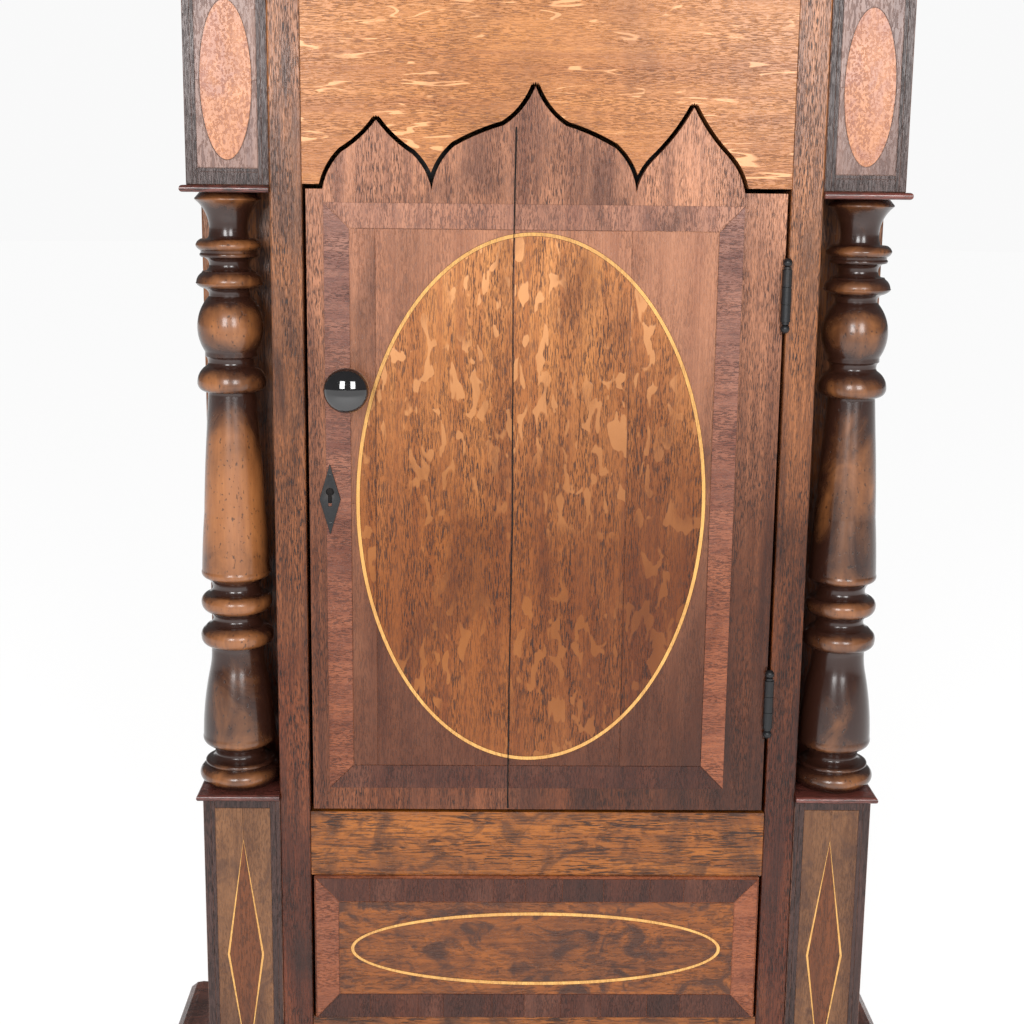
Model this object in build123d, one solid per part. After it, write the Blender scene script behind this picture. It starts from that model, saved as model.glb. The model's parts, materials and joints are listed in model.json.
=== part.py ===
from build123d import *
from math import atan2, cos, degrees, pi, sin
import os

# Longcase (grandfather) clock: case, hood, eight-day movement, pendulum and weights.
# Millimetres.  +Z is up, the dial faces -Y, and the origin is on the floor under the middle
# of the object.  Every function below makes one sub-part and returns its separate solids.

# ---------------------------------------------------------------- driving dimensions
BACK_Y = 140.0            # wall side of the case
TRUNK_FRONT = -72.0       # front plane of the stiles and corner blocks
TRUNK_HALF = 234.0        # half the trunk's width across the corner blocks
STILE_OUT = 180.5         # outer edge of the stile, where the column recess starts
STILE_IN = 159.2          # edge of the door opening
RECESS = 56.0             # depth of the corner recess that holds the column
BOARD = 20.0              # thickness of the front boards and of the trunk door
SIDE = 18.0               # thickness of the side boards
BACKBOARD = 12.0

LEDGE_Z = 1240.0          # underside of the upper corner blocks
LEDGE = 4.5               # thickness of the ledges above and below a column
LEDGE_FRONT = 5.0         # how far a ledge stands out at the front
LEDGE_SIDE = 4.0          # and at the side
LOWER_BLOCK_Z = LEDGE_Z - 420.6
TRUNK_FOOT = LEDGE_Z - 640.0
THROAT_Z = 1374.0         # bottom of the moulding under the hood
HOOD_Z = 1426.0           # where the hood sits on that moulding

BASE_HALF = 268.0
BASE_FRONT = -106.0
BASE_TOP = 562.0
FEET_TOP = 90.0
FEET_OUT = 8.0            # the bracket feet stand this far outside the base

DOOR_HALF = 156.9
DOOR_FRONT = -73.0
DOOR_BOTTOM = LEDGE_Z - 426.8
DOOR_SHOULDER = LEDGE_Z - 1.5
ARCH_SHIFT = -8.6         # the ogee head is set towards the lock side
HEAD_GAP = 3.0            # between the door's head and the board above it
HEAD_THICK = 12.0         # the door's head is thinned behind, so that its peaks swing clear
HEAD_RELIEF = (3.5, 5.5, 7.5, 9.5)   # sideways steps of the cut behind the head's edge
RELIEF_LIFT = 1.5
RELIEF_FRONT = 6.0        # thickness that the head's edge keeps in front of that cut
PANEL_TOP = LEDGE_Z - 476.6
PANEL_BOTTOM = LEDGE_Z - 585.0
PANEL_HALF = 157.2
PANEL_PROUD = 3.0

COLUMN_X = 211.2
COLUMN_Y = TRUNK_FRONT + 27.0

HINGE_AXIS = (158.05, -75.6)
HINGE_TOPS = (LEDGE_Z - 50.3, LEDGE_Z - 331.0)
HINGE_TALL = 34.0
LOCK_Z = LEDGE_Z - 206.0
BOLT_Z = (LOCK_Z - 4, LOCK_Z + 4)
BOLT_Y = (-49.5, -44.5)
KNUCKLE_R = 3.3
PIN_R = 1.6
RUNNING = 0.05            # radial clearance of a turning fit

HOOD_HALF = 258.0         # outside of the hood's side boards
HOOD_SIDE = 14.0
HOOD_FLOOR = 1452.0       # top of the hood's base frame
HOOD_HEAD = 1916.0        # underside of the entablature
CORNICE_Z = 1956.0
CORNICE_TOP = 2006.0
CORNICE_OUT = 40.0
HOOD_DOOR_HALF = 228.0
HOOD_DOOR_FRONT = -104.0
HOOD_PIVOT = (223.0, -98.0)  # axis of the two iron pins that the hood door turns on
HOOD_PIN_R = 2.0
HOOD_COLUMN = (250.0, -102.0)
PEDIMENT_Y = (-134.0, -104.0)
TOTAL_HEIGHT = 2240.0

DIAL_Z = 1632.0           # the centre of the hands
DIAL_HALF = 165.0
DIAL_ARCH = 105.0
DIAL_FRONT = -74.0
PLATE_FRONT = -45.0       # front face of the movement's front plate
PLATE = 3.0
BACK_PLATE = 20.0         # front face of the back plate
PLATE_HALF = 72.0
PLATE_TOP = DIAL_Z + 90.0
SEAT_TOP = 1530.0
SEAT = 20.0

GREAT_AT = (38.0, -26.0)  # barrel arbor from the centre arbor, x and z
GREAT_MODULE = 0.8856
TRAIN_MODULE = 0.8
THIRD_AT = (11.5, 24.65)
ESCAPE_AT = (0.0, 47.07)
ANCHOR_AT = (0.0, 78.0)
MINUTE_AT = (13.5, -23.38)
PIN_WHEEL_AT = (-49.9, 18.48)
HAMMER_AT = (-50.0, 56.0)
CENTRE_AT = (0.0, 0.0)
STRIKE_AT = (-GREAT_AT[0], GREAT_AT[1])
BACK_END = BACK_PLATE + PLATE
ARBOR_R = 2.0
STUD_R = 1.5
BARREL_ARBOR_R = 3.0
BARREL_R = 20.0
LINE_R = 0.8
LINE_X = GREAT_AT[0] + BARREL_R + LINE_R
PULLEY_R = 19.5
WEIGHT_X = LINE_X + PULLEY_R
WEIGHT_Y = -12.0
WEIGHT_R = 30.0
WEIGHT_TALL = 200.0
PULLEY_Z = 1330.0
PENDULUM_Y = 52.0
PENDULUM_LENGTH = 994.0
SUSPENSION_Z = DIAL_Z + 84.0
BELL_Z = DIAL_Z + 118.0
BOB_R = 58.0

SECONDS_Y = (-76.6, -75.8)   # the three hands turn in planes of their own,
HOUR_Y = (-79.4, -78.2)      # seconds nearest the dial and minutes nearest the glass
MINUTE_Y = (-82.0, -80.8)
WINDING_END = -76.0          # outer end of the squares that take the winding key


# ---------------------------------------------------------------- helpers
def box(x, y, z):
    """A block between pairs of limits along each axis."""
    sides = [abs(limit[1] - limit[0]) for limit in (x, y, z)]
    middle = [(limit[0] + limit[1]) / 2 for limit in (x, y, z)]
    return Pos(*middle) * Box(*sides)


def both_sides(shape):
    """A right-hand piece and its mirror image on the left."""
    return [shape, mirror(shape, about=Plane.YZ)]


def rod(x, z, radius, y):
    """A round bar along Y between two y limits."""
    length = abs(y[1] - y[0])
    return Pos(x, (y[0] + y[1]) / 2, z) * Rot(90, 0, 0) * Cylinder(radius, length)


def post(x, y, radius, z):
    """A round bar along Z between two z limits."""
    return Pos(x, y, (z[0] + z[1]) / 2) * Cylinder(radius, z[1] - z[0])


def bulged(start, end, bulge):
    """The middle point of an arc that stands out from its chord by bulge."""
    dx, dy = end[0] - start[0], end[1] - start[1]
    length = (dx * dx + dy * dy) ** 0.5
    return (
        (start[0] + end[0]) / 2 + bulge * dy / length,
        (start[1] + end[1]) / 2 - bulge * dx / length,
    )


def outline(points):
    """A closed face from (u, v) or (u, v, bulge) points: a bulge bends the edge to its point."""
    edges = []
    previous = points[-1]
    for point in points:
        start, end = previous[:2], point[:2]
        if len(point) == 3:
            edges.append(ThreePointArc(start, bulged(start, end, point[2]), end))
        else:
            edges.append(Line(start, end))
        previous = point
    return make_face(edges)


def front_face(face, y):
    """A face drawn in x and z, set upright at y and facing the front."""
    return Plane(origin=(0, y, 0), x_dir=(1, 0, 0), z_dir=(0, -1, 0)) * face


def slab(face, y):
    """A face drawn in x and z, made solid between two y limits."""
    near, far = min(y), max(y)
    return extrude(front_face(face, near), amount=far - near, dir=(0, 1, 0))


def turned(stations, x, y, top):
    """A turning about an upright axis.  Stations run down: (depth below top, radius[, bulge])."""
    points = [(0, -stations[0][0])]
    for depth, radius, *bulge in stations:
        points.append((radius, -depth, *[-amount for amount in bulge]))
    points.append((0, -stations[-1][0]))
    profile = Plane.XZ * outline(points)
    return Pos(x, y, top) * revolve(profile, Axis.Z)


def run_round(profile, half, front, z):
    """A moulding mitred round three sides.  The profile is drawn outwards and up."""
    route = Polyline(
        (-half, BACK_Y, z), (-half, front, z), (half, front, z), (half, BACK_Y, z)
    )
    start = Plane(origin=(-half, BACK_Y, z), x_dir=(-1, 0, 0), z_dir=(0, 1, 0))
    return sweep(start * outline(profile), path=route, transition=Transition.RIGHT)


def toothed(teeth, module, thick, tip=1.0, root=1.2, land=0.36):
    """A wheel or pinion blank with teeth, flat in XY.  Land is the tooth's share of the pitch."""
    pitch_r = teeth * module / 2
    root_r = pitch_r - root * module
    tip_r = pitch_r + tip * module
    step = 2 * pi / teeth
    points = []
    for index in range(teeth):
        middle = index * step
        wide = land * step * 0.62
        narrow = land * step * 0.26
        points += [
            (root_r * cos(middle - wide), root_r * sin(middle - wide)),
            (tip_r * cos(middle - narrow), tip_r * sin(middle - narrow)),
            (tip_r * cos(middle + narrow), tip_r * sin(middle + narrow)),
            (root_r * cos(middle + wide), root_r * sin(middle + wide)),
        ]
    return extrude(make_face(Polyline(*points, close=True)), thick)


def wheel(teeth, module, at, y, turn=0.0, crossings=0, bore=0.0, **shape):
    """A toothed wheel on an arbor along Y, crossed out into spokes where asked."""
    thick = abs(y[1] - y[0])
    blank = toothed(teeth, module, thick, **shape)
    if crossings:
        rim = teeth * module / 2 - 3.2 * module
        hub = 6.0
        ring = Cylinder(rim, 3 * thick) - Cylinder(hub, 3 * thick)
        for index in range(crossings):
            ring -= Rot(0, 0, 360 / crossings * index) * Pos(rim / 2, 0, 0) * Box(rim, 3.4, 3 * thick)
        blank -= ring
    if bore:
        blank -= Cylinder(bore, 3 * thick)
    return Pos(at[0], max(y), DIAL_Z + at[1]) * Rot(90, 0, 0) * Rot(0, 0, turn) * blank


def arbor(at, y, radius=ARBOR_R):
    """A steel arbor along Y at a place measured from the hands' centre."""
    return rod(at[0], DIAL_Z + at[1], radius, y)


def ogee_head():
    """The door's head from its right shoulder to its left: three ogee arches, the middle tallest."""
    def half_head(side_rise):
        return [(137.4, 0.0), (125.0, 23.5, 2.0), (102.5, side_rise, -1.5), (79.0, 22.5, -1.5),
                (66.6, 0.0, 2.0), (52.0, 28.0, 3.0), (20.0, 41.5, 1.0), (0.0, 66.0, -2.5)]
    right = half_head(54.0)
    left = half_head(44.0)
    bulges = [bulge for _, _, *bulge in reversed(left)]
    climbing = [(-x, z) for x, z, *_ in reversed(left)]
    head = right + [(*point, *bulge) for point, bulge in zip(climbing[1:], bulges)]
    return [(x + ARCH_SHIFT, DOOR_SHOULDER + z, *bulge) for x, z, *bulge in head]


# ---------------------------------------------------------------- base
def bracket_feet():
    """A skirt round the foot of the base, cut into bracket feet."""
    half, front = BASE_HALF + FEET_OUT, BASE_FRONT - FEET_OUT
    skirt = box((-half, half), (front, BACK_Y), (0, FEET_TOP))
    skirt -= box((-BASE_HALF, BASE_HALF), (BASE_FRONT, BACK_Y), (0, FEET_TOP))
    arch = outline([(half - 130, -1), (half - 140, 45, 12), (half - 190, 60, -14),
                    (190 - half, 60), (140 - half, 45, -14), (130 - half, -1, 12)])
    skirt -= slab(arch, (front - 5, BASE_FRONT + 5))
    skirt -= box((-half - 5, half + 5), (front + 110, BACK_Y - 95), (-1, 52))
    return [skirt]


def base_front():
    board = box((-BASE_HALF, BASE_HALF), (BASE_FRONT, BASE_FRONT + BOARD), (0, BASE_TOP))
    board -= box((-130, 130), (BASE_FRONT - 5, BASE_FRONT + BOARD + 5), (-1, 62))
    panel = box((-205, 205), (BASE_FRONT - PANEL_PROUD, BASE_FRONT), (165, 500))
    return [board, panel]


def base_sides():
    board = box((BASE_HALF - SIDE, BASE_HALF), (BASE_FRONT + BOARD, BACK_Y), (0, BASE_TOP))
    board -= box((BASE_HALF - 40, BASE_HALF + 5), (BASE_FRONT + 110, BACK_Y - 95), (-1, 54))
    return both_sides(board)


def base_boards():
    inner = BASE_HALF - SIDE
    floor = box((-inner, inner), (BASE_FRONT + BOARD, BACK_Y - BACKBOARD), (90, 104))
    back = box((-inner, inner), (BACK_Y - BACKBOARD, BACK_Y), (60, BASE_TOP))
    return [floor, back]


def base_moulding():
    """Hollow moulding that covers the step from the base to the trunk."""
    profile = [(0, 0), (51, 0), (51, 5), (46, 9), (41, 10), (9, 36, -9), (5, 38), (0, 38)]
    return [run_round(profile, TRUNK_HALF, TRUNK_FRONT, BASE_TOP)]


# ---------------------------------------------------------------- trunk
def trunk_back():
    board = box((-TRUNK_HALF, TRUNK_HALF), (BACK_Y - BACKBOARD, BACK_Y), (BASE_TOP, 1940))
    for x in (-80, 80):
        board -= rod(x, 1900, 2.5, (BACK_Y - 20, BACK_Y + 5))
    return [board]


def trunk_sides():
    """Side boards, carried up inside the hood as cheeks for the seatboard."""
    depth = (TRUNK_FRONT + RECESS + 16, BACK_Y - BACKBOARD)
    board = box((TRUNK_HALF - SIDE, TRUNK_HALF), depth, (BASE_TOP, SEAT_TOP - SEAT))
    return both_sides(board)


def trunk_stiles():
    """Posts beside the door and the boards that close the back of the column recesses."""
    stile = box((STILE_IN, STILE_OUT), (TRUNK_FRONT, TRUNK_FRONT + RECESS), (TRUNK_FOOT, HOOD_Z))
    back = box((STILE_IN, TRUNK_HALF), (TRUNK_FRONT + RECESS, TRUNK_FRONT + RECESS + 16),
               (TRUNK_FOOT, HOOD_Z))
    left = mirror(stile, about=Plane.YZ)
    keep = box((-STILE_IN - 10, -STILE_IN + 1), (-51, -43), (LEDGE_Z - 213, LEDGE_Z - 199))
    return [stile, left - keep, *both_sides(back)]


def door_head_board():
    """Board above the door, cut to the ogee head with an even gap."""
    board = outline([(-STILE_IN, DOOR_SHOULDER + HEAD_GAP), (-STILE_IN, HOOD_Z),
                     (STILE_IN, HOOD_Z), (STILE_IN, DOOR_SHOULDER + HEAD_GAP)])
    head = ogee_head()
    cut = outline([(head[-1][0], DOOR_SHOULDER - 20), (head[0][0], DOOR_SHOULDER - 20), head[0],
                   *head[1:]])
    y = (TRUNK_FRONT, TRUNK_FRONT + BOARD)
    board = slab(board, y)
    tool = slab(cut, (y[0] - 5, y[1] + 5))
    for index in range(7):
        angle = index * pi / 6
        board -= Pos(HEAD_GAP * cos(angle), 0, HEAD_GAP * sin(angle)) * tool
    relief = slab(cut, (y[0] + RELIEF_FRONT, y[1] + 5))     # the door's back edge swings into this
    for shift in HEAD_RELIEF:
        board -= Pos(-shift, 0, RELIEF_LIFT) * relief
    return [board]


def trunk_rails():
    """Rail under the door and rail at the trunk's foot."""
    y = (TRUNK_FRONT, TRUNK_FRONT + BOARD)
    return [
        box((-STILE_IN, STILE_IN), y, (PANEL_TOP, DOOR_BOTTOM - 2.4)),
        box((-STILE_IN, STILE_IN), y, (TRUNK_FOOT, PANEL_BOTTOM)),
    ]


def lower_panel():
    y = (TRUNK_FRONT - PANEL_PROUD, TRUNK_FRONT + BOARD)
    block = box((-PANEL_HALF, PANEL_HALF), y, (PANEL_BOTTOM, PANEL_TOP))
    rim = block.edges().filter_by(lambda edge: edge.center().Y < TRUNK_FRONT - PANEL_PROUD + 0.1)
    return [chamfer(rim, 1.2)]


def corner_blocks():
    y = (TRUNK_FRONT, TRUNK_FRONT + RECESS)
    upper = box((STILE_OUT, TRUNK_HALF), y, (LEDGE_Z, HOOD_Z))
    lower = box((STILE_OUT, TRUNK_HALF), y, (TRUNK_FOOT, LOWER_BLOCK_Z))
    return [*both_sides(upper), *both_sides(lower)]


def column_ledges():
    """Thin ledges with a rounded nose that cap the column at each end."""
    ledges = []
    for bottom in (LEDGE_Z - LEDGE, LOWER_BLOCK_Z):
        ledge = box((STILE_OUT, TRUNK_HALF + LEDGE_SIDE),
                    (TRUNK_FRONT - LEDGE_FRONT, TRUNK_FRONT + RECESS), (bottom, bottom + LEDGE))
        front = TRUNK_FRONT - LEDGE_FRONT
        nose = [edge for edge in ledge.edges()
                if abs(edge.center().Z - bottom - LEDGE / 2) > 1
                and (edge.center().Y < front + 0.1 or edge.center().X > TRUNK_HALF + LEDGE_SIDE - 0.1)]
        ledges += both_sides(fillet(nose, LEDGE / 2 - 0.15))
    return ledges


def trunk_columns():
    """Ring-turned columns standing free between their ledges."""
    stations = [
        (4.5, 18.5), (8.6, 22.0), (9.4, 22.0), (11.2, 20.0), (33.5, 13.4, -3.0), (35.2, 18.6, -1.2),
        (39.0, 22.0, 0.6), (39.8, 22.0), (42.8, 19.0, 0.4), (44.3, 18.8), (47.0, 18.8, 0.8),
        (52.0, 13.3, -1.5), (56.5, 18.0, -1.5), (57.6, 18.6), (63.5, 22.2, 0.8), (65.0, 22.2, 0.4),
        (67.5, 18.4, 0.3), (71.0, 14.0, -0.8), (73.0, 14.0), (110.2, 17.6, 6.4), (113.2, 17.6),
        (116.4, 15.8, -0.5), (119.8, 16.8, -0.5), (130.6, 23.2, 1.6), (137.3, 16.6, 2.2), (138.5, 16.2),
        (164.5, 17.9), (220.5, 20.9, 0.3), (261.0, 23.4, 0.3), (266.5, 21.0, 1.4), (273.8, 16.4, -1.2),
        (278.4, 21.3, -1.2), (284.3, 24.4, 1.0), (290.5, 20.6, 1.0), (296.3, 16.4, -1.2),
        (300.6, 20.8, -0.8), (302.5, 22.6), (309.0, 25.0, 1.0), (314.9, 19.0, 1.8), (317.5, 18.3),
        (333.0, 19.8, -0.5), (380.0, 25.3, 1.2), (387.0, 22.0, 1.6), (394.6, 16.9, -1.4),
        (398.0, 22.6, -1.0), (401.6, 22.8, 1.6), (402.4, 23.6), (414.2, 24.2, 4.4), (416.1, 23.0),
    ]
    return both_sides(turned(stations, COLUMN_X, COLUMN_Y, LEDGE_Z))


def throat_moulding():
    """Cove under the hood."""
    height = HOOD_Z - THROAT_Z
    profile = [(0, 0), (4, 0), (4, 4), (7, 6), (36, 42, -11), (40, 43), (42, 46), (42, height),
               (0, height)]
    return [run_round(profile, TRUNK_HALF, TRUNK_FRONT, THROAT_Z)]


def seatboard():
    """Board on the trunk's cheeks that carries the movement, with holes for the lines."""
    board = box((-TRUNK_HALF, TRUNK_HALF), (-50, 36), (SEAT_TOP - SEAT, SEAT_TOP))
    for side in (-1, 1):
        for x in (LINE_X, LINE_X + 2 * PULLEY_R):
            board -= post(side * x, WEIGHT_Y, 5.0, (SEAT_TOP - SEAT - 1, SEAT_TOP + 1))
    return [board]


# ---------------------------------------------------------------- trunk door
def trunk_door_board():
    head = ogee_head()
    face = outline([(-DOOR_HALF, DOOR_BOTTOM), (DOOR_HALF, DOOR_BOTTOM), (DOOR_HALF, DOOR_SHOULDER),
                    *head, (-DOOR_HALF, DOOR_SHOULDER)])
    board = slab(face, (DOOR_FRONT, DOOR_FRONT + BOARD))
    board -= box((-DOOR_HALF - 1, DOOR_HALF + 1), (DOOR_FRONT + HEAD_THICK, DOOR_FRONT + BOARD + 1),
                 (DOOR_SHOULDER, HOOD_Z))
    for top in HINGE_TOPS:
        board -= post(*HINGE_AXIS, KNUCKLE_R + 0.5, (top - HINGE_TALL - 9, top + 9))
    return [board]


def knuckle(bottom, tall, bore):
    ring = post(*HINGE_AXIS, KNUCKLE_R, (bottom, bottom + tall))
    return ring - post(*HINGE_AXIS, bore, (bottom - 1, bottom + tall + 1))


def hinge_leaf(inner, outer, top, spans, bore):
    """A thin leaf in the gap beside the door, with its share of the knuckles."""
    leaf = box((inner, outer), (HINGE_AXIS[1], -56), (top - HINGE_TALL, top))
    leaf -= post(*HINGE_AXIS, bore, (top - HINGE_TALL - 1, top + 1))
    solid = leaf
    for low, high in spans:
        solid += knuckle(top - high, high - low, bore)
    for low, high in ((0, 11.3), (11.3, 22.7), (22.7, 34)):
        if (low, high) not in [(round(a, 1), round(b, 1)) for a, b in spans]:
            solid -= post(*HINGE_AXIS, KNUCKLE_R + 0.2, (top - high - 0.15, top - low + 0.15))
    return solid


def trunk_hinge_case_leaves():
    """Case leaves of the two butt hinges, and the finialled pins that they hold."""
    leaves = [hinge_leaf(158.2, STILE_IN, top, [(11.3, 22.7)], PIN_R) for top in HINGE_TOPS]
    pins = []
    for top in HINGE_TOPS:
        ball = Pos(*HINGE_AXIS, 0) * Sphere(3.1)
        pin = post(*HINGE_AXIS, PIN_R, (top - HINGE_TALL - 4, top + 4))
        collar = post(*HINGE_AXIS, 2.6, (0.2, 1.8))
        for end, way in ((top, 1), (top - HINGE_TALL, -1)):
            pin += Pos(0, 0, end + way * 4.6) * ball
            pin += Pos(0, 0, end + (0 if way > 0 else -2.0)) * collar
        pins.append(pin)
    return leaves + pins


def trunk_hinge_door_leaves():
    solids = []
    for top in HINGE_TOPS:
        solids.append(hinge_leaf(DOOR_HALF, 157.9, top, [(0.0, 11.3), (22.7, 34.0)], PIN_R + RUNNING))
    return solids


def door_knob():
    """Turned knob on the lock side of the door."""
    profile = outline([(0, 0), (8.5, 0), (8.5, 2), (5.4, 4), (5.4, 9), (13.0, 15, -0.8),
                       (12.0, 25, 2.4), (1.5, 28, 0.6), (0, 28)])
    knob = revolve(Plane.XZ * profile, Axis.Z)
    return [Pos(-130, DOOR_FRONT, LEDGE_Z - 130.4) * Rot(90, 0, 0) * knob]


def keyhole(y):
    hole = rod(-143, LEDGE_Z - 201, 2.6, y)
    return hole + box((-144.2, -141.8), y, (LEDGE_Z - 211, LEDGE_Z - 201))


def escutcheon():
    """Lozenge plate with a keyhole."""
    middle = LEDGE_Z - 206.3
    lozenge = outline([(-143, middle + 24), (-150.1, middle), (-143, middle - 24), (-135.9, middle)])
    plate = slab(lozenge, (DOOR_FRONT - 1.6, DOOR_FRONT))
    return [plate - keyhole((DOOR_FRONT - 5, DOOR_FRONT + 5))]


def lock_case():
    """Iron rim lock on the back of the door, with a way through for the bolt."""
    back = DOOR_FRONT + BOARD
    case = box((-DOOR_HALF, -DOOR_HALF + 44), (back, back + 12), (LOCK_Z - 24, LOCK_Z + 24))
    way = box((-DOOR_HALF - 1, -DOOR_HALF + 36), (BOLT_Y[0] - 0.3, BOLT_Y[1] + 0.3),
              (BOLT_Z[0] - 0.3, BOLT_Z[1] + 0.3))
    return [case - way]


def lock_bolt():
    return [box((-DOOR_HALF + 0.5, -DOOR_HALF + 30), BOLT_Y, BOLT_Z)]


# ---------------------------------------------------------------- hood
def hood_pin(z, reach=0.0):
    """The room for one of the hood door's pins, or the pin itself, wider by reach."""
    return post(*HOOD_PIVOT, HOOD_PIN_R + reach, z)


def hood_base_frame():
    """Three rails under the hood, open at the back so that it slides off forwards, and the
    lower pin of the hood door."""
    profile = [(4, 0), (46, 0), (46, 10), (44, 14, 1.5), (40, 18), (33, 26, -2.0), (4, 26)]
    rails = run_round(profile, TRUNK_HALF, TRUNK_FRONT, HOOD_Z)
    pin = hood_pin((HOOD_FLOOR - 12, HOOD_FLOOR + 14))
    return [rails - hood_pin((HOOD_FLOOR - 12, HOOD_FLOOR + 1)), pin]


def hood_carcase():
    """Hood sides with their lights, top board, the frieze rail over the door and its pin."""
    side = box((HOOD_HALF - HOOD_SIDE, HOOD_HALF), (-84, BACK_Y), (HOOD_FLOOR, CORNICE_Z))
    side -= box((HOOD_HALF - 30, HOOD_HALF + 5), (-20, 80), (1560, 1800))
    light = box((HOOD_HALF - 10, HOOD_HALF - 6), (-20, 80), (1560, 1800))
    top = box((-HOOD_HALF, HOOD_HALF), (CORNICE_OUT - BACK_Y, BACK_Y), (CORNICE_Z, CORNICE_Z + 12))
    frieze = box((-262, 262), (-112, -84), (HOOD_HEAD, CORNICE_Z))
    frieze -= hood_pin((HOOD_HEAD - 1, HOOD_HEAD + 12))
    pin = hood_pin((HOOD_HEAD - 12, HOOD_HEAD + 12))
    return [*both_sides(side), *both_sides(light), top, frieze, pin]


def arched(half, bottom, spring, radius):
    """A break-arch outline: a rectangle with a half-round head between two shoulders."""
    return outline([(-half, bottom), (half, bottom), (half, spring), (radius, spring),
                    (-radius, spring, radius), (-half, spring)])


def hood_mask():
    """Board in the hood that frames the dial."""
    inner = HOOD_HALF - HOOD_SIDE
    board = box((-inner, inner), (-84, -76), (HOOD_FLOOR, HOOD_HEAD))
    opening = slab(arched(157, 1475, 1789, 97), (-90, -70))
    return [board - opening]


def hood_columns():
    stations = [
        (0, 17), (8, 17), (8.5, 13), (12, 15.5, 1.2), (15, 12, 0.8), (40, 10.5), (215, 13.5, 0.8),
        (424, 11.5, 0.8), (426, 15, -0.5), (432, 16, 1.5), (440, 13), (446, 16.5, 1.0), (450, 17),
        (464, 17),
    ]
    return both_sides(turned(stations, *HOOD_COLUMN, HOOD_HEAD))


def cornice():
    rise = CORNICE_TOP - CORNICE_Z
    out = CORNICE_OUT
    profile = [(0, 0), (4, 0), (6, 8, 1.5), (10, 10), (26, 28, -5), (30, 29), (36, 40, -1.5),
               (out, 42), (out, rise), (0, rise)]
    half = 302 - out
    return [run_round(profile, half, -BACK_Y + out, CORNICE_Z)]


def pediment():
    """Swan-neck pediment: two scrolled horns on a pierced board, and a plinth for the finial."""
    low, eye_x, eye_z = CORNICE_TOP, 58.0, 2142.0
    horn = outline([
        (300, low), (300, low + 26), (214, low + 50, -3), (150, low + 98, -9), (eye_x + 10, eye_z + 26, 12),
        (eye_x - 26, eye_z + 4, 14), (eye_x - 6, eye_z - 26, 8), (eye_x + 12, eye_z - 24, 3),
        (132, low + 58, -14), (186, low + 12, 8), (196, low),
    ])
    scroll = slab(horn, PEDIMENT_Y)
    board = slab(outline([(28, low), (250, low), (150, low + 60), (70, low + 96), (28, low + 60, -14)]),
                 (PEDIMENT_Y[1], PEDIMENT_Y[1] + 12))
    plinth = box((-20, 20), (-130, -92), (low, low + 92))
    return [*both_sides(scroll), *both_sides(board), plinth]


def pediment_brasses():
    """Turned paterae on the scrolls' eyes and the ball-and-spire finial."""
    patera = Pos(58, PEDIMENT_Y[0], 2142) * Rot(90, 0, 0) * revolve(
        Plane.XZ * outline([(0, 0), (21, 0), (21, 2), (15, 3.5), (9, 3.5), (1, 6, 0.5), (0, 6)]), Axis.Z)
    height = TOTAL_HEIGHT - (CORNICE_TOP + 92)
    stations = [(0, 1.0), (50, 5.0, -0.6), (54, 8), (58, 8), (62, 5), (66, 9), (104, 9, 17), (108, 6),
                (116, 6), (124, 13), (130, 14), (height, 14)]
    finial = turned(stations, 0, -111, TOTAL_HEIGHT)
    return [*both_sides(patera), finial]


# ---------------------------------------------------------------- hood door
def hood_door_frame():
    """Glazed frame with a break-arch opening, rebated for the glass, and its pull."""
    outer = box((-HOOD_DOOR_HALF, HOOD_DOOR_HALF), (HOOD_DOOR_FRONT, HOOD_DOOR_FRONT + 18),
                (HOOD_FLOOR + 4, HOOD_HEAD - 2))
    frame = outer - slab(arched(166, 1482, 1794, 102), (-110, -80))
    frame -= slab(arched(172, 1476, 1800, 106), (-95, -80))
    frame -= hood_pin((HOOD_FLOOR, HOOD_FLOOR + 14.2), RUNNING)
    frame -= hood_pin((HOOD_HEAD - 12.2, HOOD_HEAD), RUNNING)
    pull = revolve(Plane.XZ * outline([(0, 0), (6, 0), (3, 3), (3, 7), (7, 11), (1, 15, 0.8), (0, 15)]), Axis.Z)
    return [frame, Pos(-208, HOOD_DOOR_FRONT, 1680) * Rot(90, 0, 0) * pull]


def hood_door_glass():
    return [slab(arched(171.5, 1476.5, 1799.5, 105.5), (-95, -92))]


# ---------------------------------------------------------------- movement frame and dial
def dial():
    """Painted iron break-arch dial, pierced for the hands and the winding squares."""
    face = arched(DIAL_HALF, DIAL_Z - DIAL_HALF, DIAL_Z + DIAL_HALF, DIAL_ARCH)
    plate = slab(face, (DIAL_FRONT, DIAL_FRONT + 2))
    plate -= arbor((0, 0), (DIAL_FRONT - 5, DIAL_FRONT + 5), 6.5)
    plate -= arbor(ESCAPE_AT, (DIAL_FRONT - 5, DIAL_FRONT + 5), 2.5)
    for side in (-1, 1):
        plate -= arbor((side * GREAT_AT[0], GREAT_AT[1]), (DIAL_FRONT - 5, DIAL_FRONT + 5), 5.0)
    return [plate]


def arbor_places():
    """Every pivot that both plates carry, with its hole radius."""
    places = [((0, 0), ARBOR_R), (THIRD_AT, ARBOR_R), (ESCAPE_AT, ARBOR_R), (ANCHOR_AT, ARBOR_R)]
    places += [((side * GREAT_AT[0], GREAT_AT[1]), BARREL_ARBOR_R) for side in (-1, 1)]
    places += [(PIN_WHEEL_AT, ARBOR_R), (HAMMER_AT, ARBOR_R)]
    return places


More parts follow.
